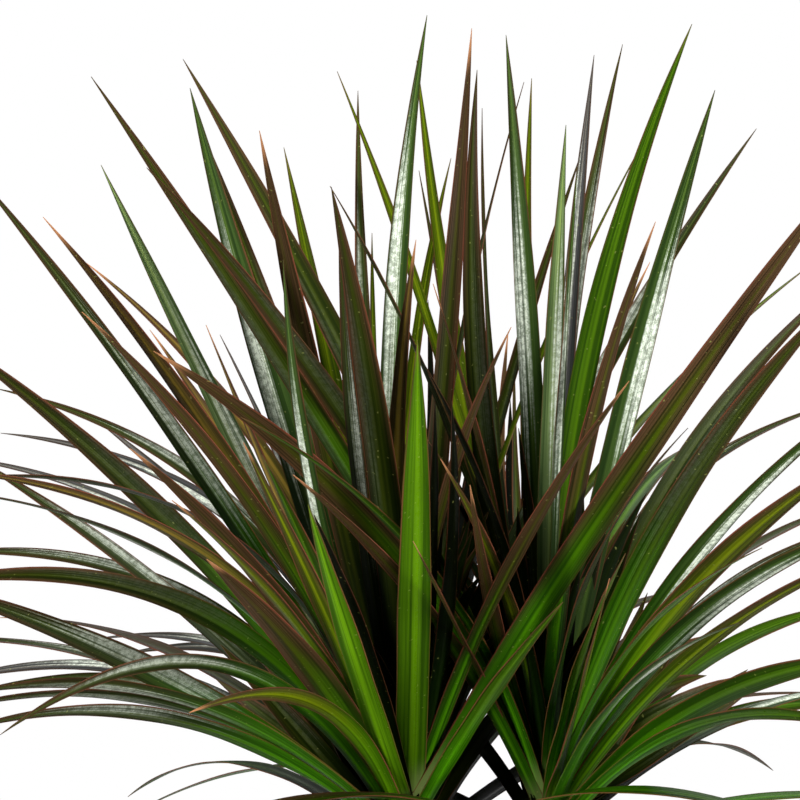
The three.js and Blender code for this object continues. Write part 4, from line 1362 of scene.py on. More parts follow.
@dataclass(frozen=True)
class ClayFinish(Finish):
    """Unglazed fired clay, with a pale bloom of salts, and darker towards its foot."""

    fired: Colour = (0.47, 0.155, 0.066)
    scorched: Colour = (0.30, 0.085, 0.036)
    salts: Colour = (0.62, 0.42, 0.31)
    ring_pitch: float = 420.0
    ring_noise: Noise = Noise(1.0, 2.0)
    ring_relief: float = 0.8
    cloud_noise: Noise = Noise(14.0, 5.0, 0.6)
    salt_noise: Noise = Noise(31.0, 6.0, 0.7)
    salt_share: float = 0.55
    relief: Relief = Relief(0.45, 0.0008)
    grain_size: float = 900.0
    speckle: float = 0.35
    clouds: Ramp = Ramp(0.35, 0.68)
    salt_edges: Ramp = Ramp(0.5, 0.72)
    darker_foot: Ramp = Ramp(0.0, 0.035, 0.45, 0.0)
    rough: Ramp = Ramp(0.3, 0.7, 0.78, 0.94)

    def build(self) -> bpy.types.Material:
        """Make the material.

        Returns:
            The material.
        """
        material, graph, shader = self.start()
        place = graph.place()
        height = graph.node("ShaderNodeSeparateXYZ", {0: place}).outputs[2]
        rings = graph.node("ShaderNodeCombineXYZ", {2: graph.times(height, self.ring_pitch)})
        turning = graph.noise(rings.outputs[0], self.ring_noise)
        cloud = graph.noise(place, self.cloud_noise)
        speckle, grain = self.grain(graph, place, self.grain_size)
        base = graph.mix(graph.ease(cloud, self.clouds), self.fired, self.scorched)
        salts_and_sheen = graph.ease(graph.noise(place, self.salt_noise), self.salt_edges)
        base = graph.mix(graph.times(salts_and_sheen, self.salt_share), base, self.salts)
        base = graph.mix(graph.ease(height, self.darker_foot), base, self.scorched)
        base = graph.mix(graph.times(speckle, self.speckle), base, self.scorched)
        graph.feed(shader.inputs["Base Color"], base)
        graph.feed(shader.inputs["Roughness"], graph.ease(cloud, self.rough))
        relief = graph.plus(grain, graph.times(turning, self.ring_relief))
        graph.feed(shader.inputs["Normal"], graph.bump(relief, self.relief))
        return material


@dataclass(frozen=True)
class BarkFinish(Finish):
    """Dry grey-tan bark, darker in its leaf scars."""

    light: Colour = (0.36, 0.27, 0.18)
    mid: Colour = (0.21, 0.145, 0.09)
    scar: Colour = (0.085, 0.052, 0.032)
    fibre_stretch: float = 0.3
    fibre_noise: Noise = Noise(420.0, 5.0, 0.65)
    cloud_noise: Noise = Noise(60.0, 4.0)
    grain_size: float = 1400.0
    grain_relief: float = 0.5
    relief: Relief = Relief(0.6, 0.0009)
    clouds: Ramp = Ramp(0.35, 0.65)
    fibres: Ramp = Ramp(0.48, 0.7, 0.0, 0.6)
    scars: Ramp = Ramp(0.25, 0.95, 0.0, 0.9)
    rough: Ramp = Ramp(0.3, 0.7, 0.72, 0.92)

    def build(self) -> bpy.types.Material:
        """Make the material, which reads how deep each place lies from an attribute.

        Returns:
            The canes' material.
        """
        material, graph, shader = self.start()
        place = graph.place()
        x, y, z = graph.node("ShaderNodeSeparateXYZ", {0: place}).outputs
        squeezed = {0: x, 1: y, 2: graph.times(z, self.fibre_stretch)}
        squeezed = graph.node("ShaderNodeCombineXYZ", squeezed).outputs[0]
        groove = graph.node("ShaderNodeAttribute", attribute_name="scar_depth").outputs["Fac"]
        fibre = graph.noise(squeezed, self.fibre_noise)
        cloud = graph.noise(place, self.cloud_noise)
        _, grain = self.grain(graph, place, self.grain_size)
        base = graph.mix(graph.ease(cloud, self.clouds), self.light, self.mid)
        base = graph.mix(graph.ease(fibre, self.fibres), base, self.mid)
        base = graph.mix(graph.ease(groove, self.scars), base, self.scar)
        graph.feed(shader.inputs["Base Color"], base)
        graph.feed(shader.inputs["Roughness"], graph.ease(fibre, self.rough))
        relief = graph.plus(fibre, graph.times(grain, self.grain_relief))
        graph.feed(shader.inputs["Normal"], graph.bump(relief, self.relief))
        return material


@dataclass(frozen=True)
class SoilFinish(Finish):
    """Crumbly potting mix or the bits that lie on it, between two colours."""

    dark: Colour = (0.022, 0.013, 0.008)
    light: Colour = (0.085, 0.052, 0.032)
    size: float = 260.0
    detail: float = 5.0
    finer_strength: float = 0.7
    grain_finer: float = 4.0
    relief: Relief = Relief(0.8, 0.0012)
    speckle: float = 0.5
    clouds: Ramp = Ramp(0.38, 0.66)
    rough: Ramp = Ramp(0.3, 0.7, 0.8, 1.0)

    def build(self) -> bpy.types.Material:
        """Make the material.

        Returns:
            The material.
        """
        material, graph, shader = self.start()
        place = graph.place()
        cloud = graph.noise(place, Noise(self.size, self.detail, self.finer_strength))
        speckle, grain = self.grain(graph, place, self.size * self.grain_finer)
        base = graph.mix(graph.ease(cloud, self.clouds), self.dark, self.light)
        base = graph.mix(graph.times(speckle, self.speckle), base, self.dark)
        graph.feed(shader.inputs["Base Color"], base)
        graph.feed(shader.inputs["Roughness"], graph.ease(cloud, self.rough))
        normal = graph.bump(graph.plus(cloud, grain), self.relief)
        graph.feed(shader.inputs["Normal"], normal)
        return material


# ---- modelling helpers ----


def start_afresh() -> None:
    """Leave edit mode and deselect everything."""
    if bpy.context.object and bpy.context.object.mode != "OBJECT":
        bpy.ops.object.mode_set(mode="OBJECT")
    bpy.ops.object.select_all(action="DESELECT")


def take(piece: Piece) -> None:
    """Make one object the only selected and active one.

    Args:
        piece: the object.
    """
    start_afresh()
    piece.select_set(True)
    bpy.context.view_layer.objects.active = piece


def settle(piece: Piece) -> None:
    """Apply a piece's place, turn and size to its mesh."""
    take(piece)
    bpy.ops.object.transform_apply(location=True, rotation=True, scale=True)


def add_modifier(piece: Piece, kind: str, **settings: object) -> None:
    """Add a modifier with its settings and apply it.

    Args:
        piece: the object to change.
        kind: the modifier's Blender type.
        **settings: its properties.
    """
    take(piece)
    modifier = piece.modifiers.new(kind.lower(), kind)
    for name, value in settings.items():
        setattr(modifier, name, value)
    bpy.ops.object.modifier_apply(modifier=modifier.name)


def mesh_points(piece: Piece) -> np.ndarray:
    """Give a mesh's points, one row each.

    Args:
        piece: the object.

    Returns:
        The points in metres.
    """
    points = np.empty(len(piece.data.vertices) * 3)
    piece.data.vertices.foreach_get("co", points)
    return points.reshape(-1, 3)


def set_mesh_points(piece: Piece, points: np.ndarray) -> None:
    """Move a mesh's points to new places."""
    piece.data.vertices.foreach_set("co", points.ravel())
    piece.data.update()


def colour_points(piece: Piece, name: str, value: Sequence[float]) -> None:
    """Give all of a mesh's points the same red, green, blue and alpha."""
    layer = piece.data.attributes.new(name, "FLOAT_COLOR", "POINT")
    layer.data.foreach_set("color", np.tile(value, len(piece.data.vertices)))


def drill(piece: Piece, place: Range, radius: float, low: float, high: float) -> None:
    """Cut a round upright hole out of a piece; all sizes in mm.

    Args:
        piece: the piece to drill.
        place: the hole's middle.
        radius: the hole's radius.
        low: where it starts.
        high: where it ends.
    """
    start_afresh()
    middle = (place[0] * MM, place[1] * MM, (low + high) / 2 * MM)
    bpy.ops.mesh.primitive_cylinder_add(
        vertices=HOLE_SIDES, radius=radius * MM, depth=(high - low) * MM, location=middle
    )
    bit = bpy.context.object
    settle(bit)
    add_modifier(piece, "BOOLEAN", operation="DIFFERENCE", solver="EXACT", object=bit)
    bpy.data.objects.remove(bit)


def turned(name: str, profile: Sequence[tuple[float, float]], sides: int) -> Piece:
    """Raise a round solid ring by ring, as on a wheel.

    Args:
        name: the piece's name.
        profile: radius and height of each ring in mm, from the underside up and round inside.
        sides: how many sides each ring has.

    Returns:
        The closed solid, with its faces pointing out.
    """
    start_afresh()
    radius, height = profile[0]
    bpy.ops.mesh.primitive_circle_add(
        vertices=sides, radius=radius * MM, fill_type="NGON", location=(0, 0, height * MM)
    )
    piece = bpy.context.object
    piece.name = name
    piece.data.name = name
    settle(piece)
    bpy.ops.object.mode_set(mode="EDIT")
    bpy.ops.mesh.select_all(action="SELECT")
    for next_radius, next_height in profile[1:]:
        rise = (0, 0, (next_height - height) * MM)
        bpy.ops.mesh.extrude_region_move(TRANSFORM_OT_translate={"value": rise})
        share = next_radius / radius
        bpy.ops.transform.resize(value=(share, share, 1), center_override=(0, 0, next_height * MM))
        radius, height = next_radius, next_height
    bpy.ops.mesh.select_all(action="SELECT")
    bpy.ops.mesh.normals_make_consistent(inside=False)
    bpy.ops.object.mode_set(mode="OBJECT")
    return piece


def smooth(piece: Piece, degrees: float = 40.0) -> None:
    """Shade a piece smooth up to an angle."""
    take(piece)
    bpy.ops.object.shade_smooth_by_angle(angle=math.radians(degrees))


def dress(piece: Piece, material: bpy.types.Material) -> None:
    """Give a piece its only material, and fix it to the part.

    Args:
        piece: the piece.
        material: its finish.
    """
    piece.data.materials.clear()
    piece.data.materials.append(material)
    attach(piece, "root")


def join(pieces: Sequence[Piece], name: str) -> Piece:
    """Join copies into one piece.

    Args:
        pieces: the copies.
        name: the joined piece's name.

    Returns:
        The joined piece.
    """
    start_afresh()
    for piece in pieces:
        piece.select_set(True)
    bpy.context.view_layer.objects.active = pieces[0]
    bpy.ops.object.join()
    joined = bpy.context.object
    joined.name = name
    joined.data.name = name
    return joined


# ---- the sub-assemblies ----


class BladeSurfaces(NamedTuple):
    """Where the flat strip's points lie along every leaf, in mm."""

    side: np.ndarray
    t: np.ndarray
    face: np.ndarray
    centre: np.ndarray
    across: np.ndarray
    normal: np.ndarray
    half: np.ndarray


@dataclass
class LeafHead:
    """The leaves of one cane and the growing tip that they clasp."""

    head: Head
    crown: Crown
    seed: int = 100
    columns: int = 8
    rows: int = 44
    thickness: float = 0.8
    tip_thickness: float = 0.35
    rib: float = 0.35
    fold_least: float = 0.12
    fold_most: float = 0.34
    neck: float = 0.80
    broader: float = 1.08
    tip_width: float = 0.2
    clasp_radius: float = 14.0
    clasp_share: float = 0.3
    fold_pivot: float = 0.5
    fold_opens: float = 0.5
    rib_sharpness: int = 3
    wave: float = 0.5
    waves: int = 19
    brightness: Range = (0.85, 1.18)
    core_sides: int = 32
    core_foot: Range = (1, 2)
    core_tip: Range = (3, 4)
    core_uv: Range = (0.3, 0.03)
    core_marks: tuple[float, float, float, float] = (0.0, 0.0, 0.0, 0.5)
    inner_columns: int = 4
    inner_rows: int = 16
    # painted shade: how strongly the foot is darkened on a leaf leaning back, and on a steep one
    behind_shade: float = 0.85
    steep_shade: float = 0.70
    steep: float = 62.0

    @property
    def name(self) -> str:
        """The node that this head replaces."""
        return "leaves_left" if self.head == Head.LEFT else "leaves_right"

    def build(self) -> Piece:
        """Model one flat blade, bend a copy along each leaf's curve, and join them.

        Returns:
            The head as one piece.
        """
        draws = random.Random(self.seed + self.head)
        strip = self._template(self.columns, self.rows)
        blades = self._blades(strip, self.crown.leaves, self.crown.curves, draws)
        strip = self._template(self.inner_columns, self.inner_rows)
        blades += self._blades(strip, self.crown.inner, self.crown.inner_curves, draws)
        piece = join([self._growing_tip(), *blades], f"{self.name}_blades")
        smooth(piece, degrees=50)
        return piece

    @staticmethod
    def _template(columns: int, rows: int) -> Piece:
        """Model a flat strip from -1 to 1 across and 0 to 1 along, with two faces.

        Args:
            columns: how many faces it has across.
            rows: how many it has along.

        Returns:
            The strip, with its map.
        """
        start_afresh()
        bpy.ops.mesh.primitive_grid_add(
            x_subdivisions=columns, y_subdivisions=rows, size=2, calc_uvs=True
        )
        strip = bpy.context.object
        strip.name = "blade_template"
        strip.data.uv_layers[0].name = "blade"
        bpy.ops.object.mode_set(mode="EDIT")
        bpy.ops.mesh.select_all(action="SELECT")
        bpy.ops.transform.resize(value=(1, 0.5, 1))
        bpy.ops.transform.translate(value=(0, 0.5, 0))
        bpy.ops.object.mode_set(mode="OBJECT")
        add_modifier(strip, "SOLIDIFY", thickness=0.1, offset=0)
        return strip

    def _blades(
        self,
        template: Piece,
        leaves: Sequence[Leaf],
        curves: Curves,
        draws: random.Random,
    ) -> list[Piece]:
        """Bend a copy of the strip along each of this head's leaves, then drop the strip.

        Args:
            template: the strip.
            leaves: the leaves of both heads.
            curves: the leaves' centre lines.
            draws: the source of random numbers.

        Returns:
            This head's blades.
        """
        surfaces = self._surfaces(template, curves)
        blades = [
            self._bent_copy(template, surfaces, k, leaf, draws)
            for k, leaf in enumerate(leaves)
            if leaf.head == self.head
        ]
        bpy.data.objects.remove(template)
        return blades

    def _surfaces(self, template: Piece, curves: Curves) -> BladeSurfaces:
        """Work out where the strip's points lie along every leaf, all at once.

        Args:
            template: the strip.
            curves: the leaves' centre lines.

        Returns:
            The places and directions that the blades are bent by.
        """
        flat = mesh_points(template)
        t = np.clip(flat[:, 1], 0, 1)
        across = curves.across(t)
        return BladeSurfaces(
            side=flat[:, 0],
            t=t,
            face=np.sign(flat[:, 2]),
            centre=curves.points(t),
            across=across,
            normal=unit(np.cross(across, curves.tangents(t))),
            half=curves.half_widths(t, self.neck) * self.broader + self.tip_width / 2,
        )

    def _bent_copy(
        self,
        template: Piece,
        surfaces: BladeSurfaces,
        index: int,
        leaf: Leaf,
        draws: random.Random,
    ) -> Piece:
        """Copy the strip and bend the copy along one leaf's curve.

        Args:
            template: the strip.
            surfaces: where the points of every leaf lie.
            index: the leaf's row there.
            leaf: the leaf.
            draws: the source of random numbers.

        Returns:
            The blade.
        """
        blade = template.copy()
        blade.data = template.data.copy()
        bpy.context.collection.objects.link(blade)
        phase, seed = draws.uniform(0, 2 * math.pi), draws.random()
        fold = draws.uniform(self.fold_least, self.fold_most)
        side, t, half = surfaces.side, surfaces.t, surfaces.half[index]
        inside = 1 - smooth_step(t / self.clasp_share)
        cup = inside * (half * side) ** 2 / (2 * self.clasp_radius)
        gutter = (1 - inside) * half * (np.abs(side) - self.fold_pivot) * fold
        gutter = gutter * (1 - self.fold_opens * t)
        ripple = self.wave * side * np.abs(side)
        ripple = ripple * np.sin(self.waves * t + phase) * np.sin(math.pi * t)
        thick = self.thickness + (self.tip_thickness - self.thickness) * t
        thick = (thick + self.rib * (1 - np.abs(side)) ** self.rib_sharpness * (1 - t)) / 2
        lift = surfaces.face * thick - cup - gutter - ripple
        moved = surfaces.centre[index] + surfaces.across[index] * (half * side)[:, None]
        moved = moved + surfaces.normal[index] * lift[:, None]
        set_mesh_points(blade, moved * MM)
        self._colour(blade, leaf, seed, draws)
        return blade

    def _colour(
        self, blade: Piece, leaf: Leaf, seed: float, draws: random.Random
    ) -> None:
        """Write a leaf's colour and marks on its points, with painted shade low down in the heart.

        Args:
            blade: the leaf's blade.
            leaf: the leaf.
            seed: a number from 0 to 1 that sets its patterns apart.
            draws: the source of random numbers.
        """
        tone = leaf.tone.value
        bright = draws.uniform(*self.brightness)
        out = leaf.tip - leaf.root
        rise = math.degrees(math.atan2(out[2], math.hypot(out[0], out[1])))
        # painted shade: a fresh under 0 darkens the foot of a back-leaning or steep leaf
        fresh = tone.fresh
        if out[1] > 0:
            fresh = -self.behind_shade
        elif rise > self.steep and leaf.tone != LIME:
            fresh = -self.steep_shade
        colour_points(blade, "leaf_colour", (*(part * bright for part in tone.colour), fresh))
        colour_points(blade, "leaf_marks", (tone.maroon, tone.painted_sheen, tone.dry_tip, seed))

    def _growing_tip(self) -> Piece:
        """Turn the cone that the leaves clasp.

        Returns:
            The cone, with a blade's map and marks.
        """
        foot_inset, foot_rise = self.core_foot
        tip_inset, tip_fall = self.core_tip
        rings = [
            (HEAD_BOTTOM_RADIUS - foot_inset, HEAD_BOTTOM),
            (HEAD_BOTTOM_RADIUS, HEAD_BOTTOM + foot_rise),
            (HEAD_TOP_RADIUS, HEAD_TOP - tip_fall),
            (HEAD_TOP_RADIUS - tip_inset, HEAD_TOP),
        ]
        core = turned("growing_tip", rings, self.core_sides)
        axis = head_axis(self.head)
        set_mesh_points(core, mesh_points(core) + axis * MM)
        flat = core.data.uv_layers.new(name="blade").data
        flat.foreach_set("uv", np.tile(self.core_uv, len(flat)))
        colour_points(core, "leaf_colour", (*GREEN.value.colour, GREEN.value.fresh))
        colour_points(core, "leaf_marks", self.core_marks)
        return core

    def dress(self, piece: Piece, material: bpy.types.Material) -> None:
        """Give the head its finish and let it stand for its node."""
        dress(piece, material)
        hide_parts(self.name)


@dataclass
class Cane:
    """One bare cane, ringed with the scars of fallen leaves."""

    head: Head
    sides: int = 48
    rings: int = 170
    scar_depth: float = 0.7
    scar_width: float = 0.09
    scar_tilt: float = 0.16
    scar_turn: float = 2.4
    scar_ripple: float = 0.05
    scars_from: float = 10.0
    bows_from: float = 4.0
    slimmer: float = 0.1

    @property
    def name(self) -> str:
        """The node that this cane replaces."""
        return "cane_left" if self.head == Head.LEFT else "cane_right"

    def build(self) -> Piece:
        """Turn a straight rod and bow it out to its head.

        Returns:
            The cane.
        """
        bottom, top = CANE_HOLE_BOTTOM + FIT_GAP, HEAD_BOTTOM - FIT_GAP
        heights = [bottom + (top - bottom) * k / self.rings for k in range(self.rings + 1)]
        rod = turned(f"{self.name}_bark", [(CANE_FOOT_RADIUS, z) for z in heights], self.sides)
        axis = head_axis(self.head)
        side = -1 if self.head == Head.LEFT else 1
        bare = SOIL_TOP + SOIL_MOUND + self.bows_from
        x, y, z = (mesh_points(rod) / MM).T
        turn = np.arctan2(y, x)
        rise = smooth_step((z - bare) / (top - bare))
        ring = (z - bottom) / CANE_SCAR_PITCH
        tilt = self.scar_tilt * np.sin(turn + self.scar_turn * np.floor(ring))
        share = np.mod(ring + tilt + self.scar_ripple * np.sin(3 * turn + side), 1.0)
        groove = np.exp(-(((share - 0.5) / self.scar_width) ** 2)) * (z > bare - self.scars_from)
        radius = CANE_FOOT_RADIUS + (CANE_TOP_RADIUS - CANE_FOOT_RADIUS) * rise - self.slimmer
        radius = radius - self.scar_depth * groove
        foot = side * CANE_FOOT_X
        bowed = np.stack([foot + (axis[0] - foot) * rise, axis[1] * rise, z], -1)
        bowed += np.stack([radius * np.cos(turn), radius * np.sin(turn), np.zeros_like(z)], -1)
        set_mesh_points(rod, bowed * MM)
        layer = rod.data.attributes.new("scar_depth", "FLOAT", "POINT")
        layer.data.foreach_set("value", groove)
        smooth(rod, degrees=60)
        return rod

    def dress(self, piece: Piece, material: bpy.types.Material) -> None:
        """Give the cane its finish and let it stand for its node."""
        dress(piece, material)
        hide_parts(self.name)


def pot_radius(z: float) -> float:
    """Give the pot wall's outer radius at a height, both in mm."""
    return POT_BASE_RADIUS + (POT_TOP_RADIUS - POT_BASE_RADIUS) * (z / POT_HEIGHT)


@dataclass
class Pot:
    """The plain clay pot, with a collar and drain holes."""

    sides: int = 128
    edge: float = 2.4
    edge_segments: int = 4
    sharp: float = 35.0

    def build(self) -> Piece:
        """Turn the pot, round its edges and drill its floor.

        Returns:
            The pot.
        """
        collar = POT_HEIGHT - COLLAR_HEIGHT
        inside = [
            (pot_radius(POT_HEIGHT) - POT_WALL, POT_HEIGHT),
            (pot_radius(POT_FLOOR) - POT_WALL, POT_FLOOR),
        ]
        outside = [(pot_radius(z), z) for z in (0.0, collar / 2, collar)]
        collar_rings = [(COLLAR_RADIUS, collar), (COLLAR_RADIUS, POT_HEIGHT)]
        pot = turned("pot_clay", [*outside, *collar_rings, *inside], self.sides)
        add_modifier(
            pot,
            "BEVEL",
            width=self.edge * MM,
            segments=self.edge_segments,
            limit_method="ANGLE",
            angle_limit=math.radians(self.sharp),
        )
        for k in range(DRAIN_HOLES):
            turn = 2 * math.pi * (k + 0.5) / DRAIN_HOLES
            place = (DRAIN_HOLE_CIRCLE * math.cos(turn), DRAIN_HOLE_CIRCLE * math.sin(turn))
            drill(pot, place, DRAIN_HOLE_RADIUS, -POT_FLOOR, 1.5 * POT_FLOOR)
        smooth(pot, self.sharp)
        return pot

    def dress(self, piece: Piece, material: bpy.types.Material) -> None:
        """Give the pot its finish and let it stand for its node."""
        dress(piece, material)
        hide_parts("pot")


class Wave(NamedTuple):
    """A wave over the soil: radians to the mm across and back, and its phase."""

    across: float
    back: float
    phase: float = 0.0

    def at(self, x: np.ndarray, y: np.ndarray) -> np.ndarray:
        """Give the wave, from -1 to 1, at places in mm."""
        return np.sin(self.across * x + self.back * y + self.phase)


class Bits(NamedTuple):
    """Loose bits of one kind: how many, their half sizes in mm and their flatness."""

    name: str
    count: int
    size: Range
    flat: float


@dataclass
class Soil:
    """The potting mix, with crumbs, bark and perlite on its top."""

    sides: int = 120
    rings: int = 30
    crumbs: Bits = Bits("soil_crumbs", 520, (0.9, 2.6), 0.8)
    chips: Bits = Bits("bark_chips", 70, (2.2, 4.6), 0.35)
    perlite: Bits = Bits("perlite_grains", 60, (0.9, 1.9), 0.85)
    seed: int = 7
    scattered_to: float = 74.0
    clear_to: float = 76.0
    from_cane: float = 1.6
    from_wall: float = 1.5
    broad: tuple[Wave, Wave] = (Wave(0.21, 0.0, 1.3), Wave(0.0, 0.19, -0.4))
    ridges: Wave = Wave(0.53, -0.37)
    ridge_share: float = 0.6
    fine: tuple[Wave, Wave] = (Wave(1.3, 0.9), Wave(-0.7, 1.1))
    lump_height: float = 0.8
    fine_height: float = 0.35
    grain_segments: int = 6
    grain_rings: int = 5
    grain_waves: tuple[float, float, float] = (3.1, 2.7, 5.3)
    grain_bumps: Range = (0.22, 0.12)
    phases: Range = (0, 6.28)
    stretches: Range = (0.6, 1.4)
    raised: float = 0.3

    def build(self) -> dict[str, Piece]:
        """Model the soil body and the loose bits on it.

        Returns:
            The pieces by name.
        """
        bottom = POT_FLOOR + FIT_GAP
        inside = POT_WALL + 2 * FIT_GAP
        edge = pot_radius(SOIL_TOP) - inside
        rings = [(pot_radius(bottom) - inside, bottom), (edge, SOIL_TOP)]
        for k in range(1, self.rings):
            share = 1 - k / self.rings
            rings.append((edge * share, SOIL_TOP + SOIL_MOUND * (1 - share * share)))
        body = turned("soil_body", rings, self.sides)
        x, y, z = (mesh_points(body) / MM).T
        heaped = np.where(z > SOIL_TOP + FIT_GAP, self._top(x, y), z)
        set_mesh_points(body, np.stack([x, y, heaped], -1) * MM)
        for side in (-1, 1):
            place = (side * CANE_FOOT_X, 0.0)
            drill(body, place, CANE_FOOT_RADIUS + FIT_GAP, CANE_HOLE_BOTTOM, POT_HEIGHT)
        smooth(body, degrees=60)
        draws = random.Random(self.seed)
        return {
            "body": body,
            "crumbs": self._scatter(self.crumbs, draws),
            "chips": self._scatter(self.chips, draws),
            "perlite": self._scatter(self.perlite, draws),
        }

    def _top(self, x: np.ndarray, y: np.ndarray) -> np.ndarray:
        """Give the height of the soil's uneven top, in mm.

        Args:
            x: places across, in mm.
            y: places back, in mm.

        Returns:
            The heights there.
        """
        edge = pot_radius(SOIL_TOP) - POT_WALL
        level = SOIL_TOP + SOIL_MOUND * (1 - (x * x + y * y) / (edge * edge))
        first, second = self.broad
        lumps = first.at(x, y) * second.at(x, y) + self.ridge_share * self.ridges.at(x, y)
        first, second = self.fine
        fine = self.fine_height * first.at(x, y) * second.at(x, y)
        return level + self.lump_height * lumps + fine

    def _scatter(self, bits: Bits, draws: random.Random) -> Piece:
        """Model one rough grain and lay copies of it over the soil, clear of the canes.

        Args:
            bits: the kind of bits.
            draws: the source of random numbers.

        Returns:
            The bits as one piece.
        """
        start_afresh()
        bpy.ops.mesh.primitive_uv_sphere_add(
            segments=self.grain_segments, ring_count=self.grain_rings, radius=1
        )
        grain = bpy.context.object
        grain.name = "grain_template"
        copies = []
        while len(copies) < bits.count:
            radius = self.scattered_to * math.sqrt(draws.random())
            angle = draws.uniform(0, 2 * math.pi)
            x, y = radius * math.cos(angle), radius * math.sin(angle)
            scale = draws.uniform(*bits.size)
            near = min(math.hypot(x - side * CANE_FOOT_X, y) for side in (-1, 1))
            by_cane = near < CANE_FOOT_RADIUS + scale * self.from_cane
            if by_cane or radius + self.from_wall * scale > self.clear_to:
                continue
            copies.append(self._lay(grain, x, y, scale, bits.flat, draws))
        bpy.data.objects.remove(grain)
        piece = join(copies, bits.name)
        smooth(piece, degrees=30)
        return piece

    def _lay(
        self, grain: Piece, x: float, y: float, scale: float, flat: float,
        draws: random.Random,
    ) -> Piece:
        """Lay one grain, sunk by a third, with its own shape and turn.

        Args:
            grain: the grain to copy.
            x: its place across, in mm.
            y: its place back, in mm.
            scale: half its size in mm.
            flat: its height as a share of its size.
            draws: the source of random numbers.

        Returns:
            The grain.
        """
        copy = grain.copy()
        copy.data = grain.data.copy()
        bpy.context.collection.objects.link(copy)
        phase = [draws.uniform(*self.phases) for _ in self.grain_waves]
        turn = draws.uniform(*self.phases)
        stretch = draws.uniform(*self.stretches)
        points = mesh_points(grain)
        across, back, up = (np.sin(self.grain_waves[k] * points[:, k] + phase[k]) for k in range(3))
        level_bump, upright_bump = self.grain_bumps
        rough = 1 + level_bump * (across * back) + upright_bump * up
        shaped = points * rough[:, None] * scale * np.array([stretch, 1 / stretch, flat])
        c, s = math.cos(turn), math.sin(turn)
        ground = float(self._top(np.array(x), np.array(y)))
        laid = np.stack([
            shaped[:, 0] * c - shaped[:, 1] * s + x,
            shaped[:, 0] * s + shaped[:, 1] * c + y,
            shaped[:, 2] + ground + scale * flat * self.raised,
        ], -1)
        set_mesh_points(copy, laid * MM)
        return copy

    def dress(
        self, pieces: dict[str, Piece], materials: dict[str, bpy.types.Material]
    ) -> None:
        """Give the soil and its bits their finishes; the body stands for its node.

        Args:
            pieces: the soil and its bits by name.
            materials: their finishes by the same names.
        """
        for name, piece in pieces.items():
            dress(piece, materials[name])
        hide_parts("soil")


class SoftLight(NamedTuple):
    """A soft rectangular light aimed at the crown: place and size in m, power in W."""

    name: str
    place: tuple[float, float, float]
    size: tuple[float, float]
    power: float


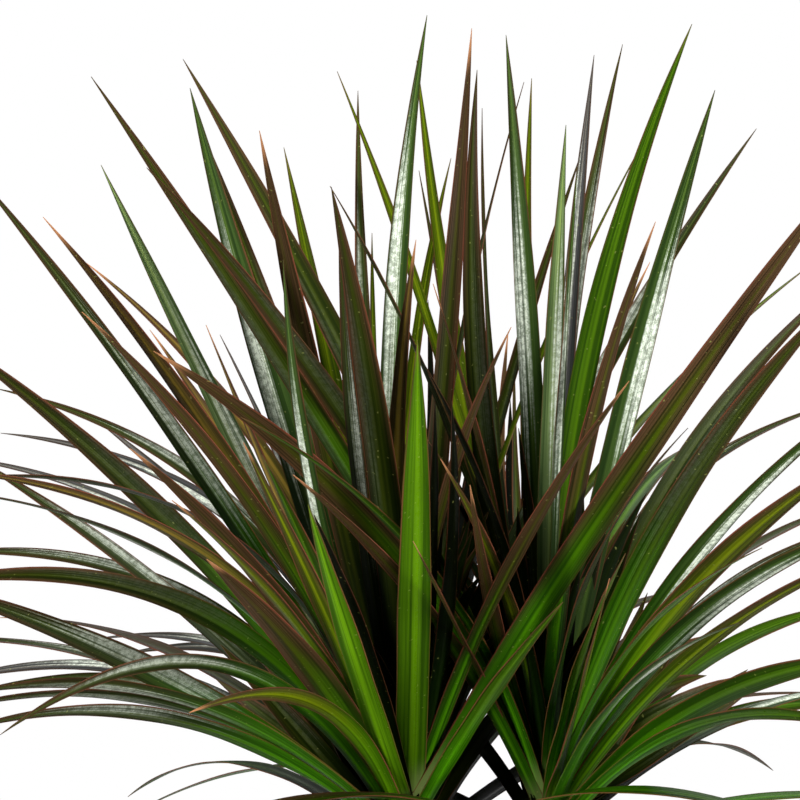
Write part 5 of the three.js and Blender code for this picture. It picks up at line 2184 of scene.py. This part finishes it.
@dataclass
class Studio:
    """The camera, the pale floor and the soft lights."""

    lens: float = 180.0
    sensor: float = 36.0
    sees_to: float = 50.0
    floor_radius: float = 1.0
    floor_colour: Colour = (0.66, 0.66, 0.65)
    floor_roughness: float = 0.75
    floor_sides: int = 96
    surround: Ramp = Ramp(-0.3, 0.8, 0.015, 0.20)
    lights: tuple[SoftLight, ...] = (
        SoftLight("top_box", (0.2, -0.3, 2.6), (1.1, 1.1), 67.0),
        SoftLight("right_strip", (1.6, -1.5, 0.8), (0.35, 1.3), 67.0),
        SoftLight("left_strip", (-1.6, -1.5, 0.7), (0.35, 1.3), 56.0),
        SoftLight("back_box", (0.0, 1.7, 1.5), (1.4, 1.0), 11.0),
    )

    def build(self) -> None:
        """Place the camera first, then the floor, the lights and the surround."""
        self._camera()
        self._floor()
        for light in self.lights:
            self._hang(light)
        self._surround()
        bpy.context.scene.view_settings.view_transform = "Standard"

    def _camera(self) -> None:
        """Look at the crown as the photograph does."""
        data = bpy.data.cameras.new("photo_view")
        data.lens = self.lens
        data.sensor_width = self.sensor
        data.clip_end = self.sees_to
        camera = bpy.data.objects.new("photo_view", data)
        bpy.context.collection.objects.link(camera)
        camera.location = Vector((PICTURE_CENTRE - VIEW * VIEW_DISTANCE) * MM)
        camera.rotation_euler = Vector(VIEW).to_track_quat("-Z", "Y").to_euler()
        bpy.context.scene.camera = camera

    def _floor(self) -> None:
        """Lay the pale floor."""
        start_afresh()
        bpy.ops.mesh.primitive_circle_add(
            vertices=self.floor_sides, radius=self.floor_radius, fill_type="NGON"
        )
        floor = bpy.context.object
        floor.name = "studio_floor"
        material = bpy.data.materials.new("pale_floor")
        material.use_nodes = True
        shader = material.node_tree.nodes["Principled BSDF"]
        shader.inputs["Base Color"].default_value = (*self.floor_colour, 1)
        shader.inputs["Roughness"].default_value = self.floor_roughness
        floor.data.materials.append(material)

    @staticmethod
    def _hang(wanted: SoftLight) -> None:
        """Hang one soft light, aimed at the crown.

        Args:
            wanted: its place, size and power.
        """
        data = bpy.data.lights.new(wanted.name, "AREA")
        data.shape = "RECTANGLE"
        data.size, data.size_y = wanted.size
        data.energy = wanted.power
        light = bpy.data.objects.new(wanted.name, data)
        bpy.context.collection.objects.link(light)
        light.location = wanted.place
        light.visible_camera = False
        aim = Vector(PICTURE_CENTRE * MM) - Vector(wanted.place)
        light.rotation_euler = aim.to_track_quat("-Z", "Y").to_euler()

    def _surround(self) -> None:
        """Make the surround white to the camera, and as a light brightest behind the plant."""
        world = bpy.data.worlds.new("studio_surround")
        world.use_nodes = True
        world.node_tree.nodes.clear()
        graph = Graph(world.node_tree)
        towards = graph.node("ShaderNodeTexCoord").outputs["Generated"]
        behind = graph.node("ShaderNodeSeparateXYZ", {0: towards}).outputs[1]
        strength = graph.ease(behind, self.surround)
        seen = graph.node("ShaderNodeBackground", {"Color": (1, 1, 1), "Strength": 1.0})
        lit = graph.node("ShaderNodeBackground", {"Color": (1, 1, 1), "Strength": strength})
        path = graph.node("ShaderNodeLightPath")
        both = graph.node("ShaderNodeMixShader", {0: path.outputs["Is Camera Ray"]})
        graph.feed(both.inputs[1], lit.outputs[0])
        graph.feed(both.inputs[2], seen.outputs[0])
        output = graph.node("ShaderNodeOutputWorld")
        graph.feed(output.inputs[0], both.outputs[0])
        bpy.context.scene.world = world


def log_piece(piece: Piece) -> None:
    """Say how many faces a finished piece has."""
    LOG.info("%s: %d faces", piece.name, len(piece.data.polygons))


def main() -> None:
    """Build the studio and the plant in order."""
    logging.basicConfig(level=logging.INFO, format="%(name)s: %(message)s")
    start_afresh()
    Studio().build()

    leaf = LeafFinish("leaf_satin", roughness=0.34, specular=0.03).build()
    crown = Crown()
    for head in Head:
        foliage = LeafHead(head, crown)
        piece = foliage.build()
        foliage.dress(piece, leaf)
        log_piece(piece)

    bark = BarkFinish("cane_bark", roughness=0.85, specular=0.3).build()
    for head in Head:
        cane = Cane(head)
        piece = cane.build()
        cane.dress(piece, bark)
        log_piece(piece)

    pot = Pot()
    piece = pot.build()
    clay = ClayFinish("fired_clay", roughness=0.88, specular=0.25).build()
    pot.dress(piece, clay)
    log_piece(piece)

    soil = Soil()
    pieces = soil.build()
    chips = SoilFinish(
        "bark_chip",
        roughness=0.85,
        specular=0.3,
        dark=(0.060, 0.030, 0.014),
        light=(0.21, 0.115, 0.055),
        size=300.0,
    )
    white = SoilFinish(
        "perlite",
        roughness=0.9,
        specular=0.3,
        dark=(0.50, 0.48, 0.44),
        light=(0.78, 0.76, 0.72),
        size=500.0,
    )
    mix = SoilFinish("potting_mix", roughness=0.9, specular=0.3).build()
    finishes = {"body": mix, "crumbs": mix, "chips": chips.build(), "perlite": white.build()}
    soil.dress(pieces, finishes)
    for piece in pieces.values():
        log_piece(piece)

    start_afresh()


if __name__ == "__main__":
    main()
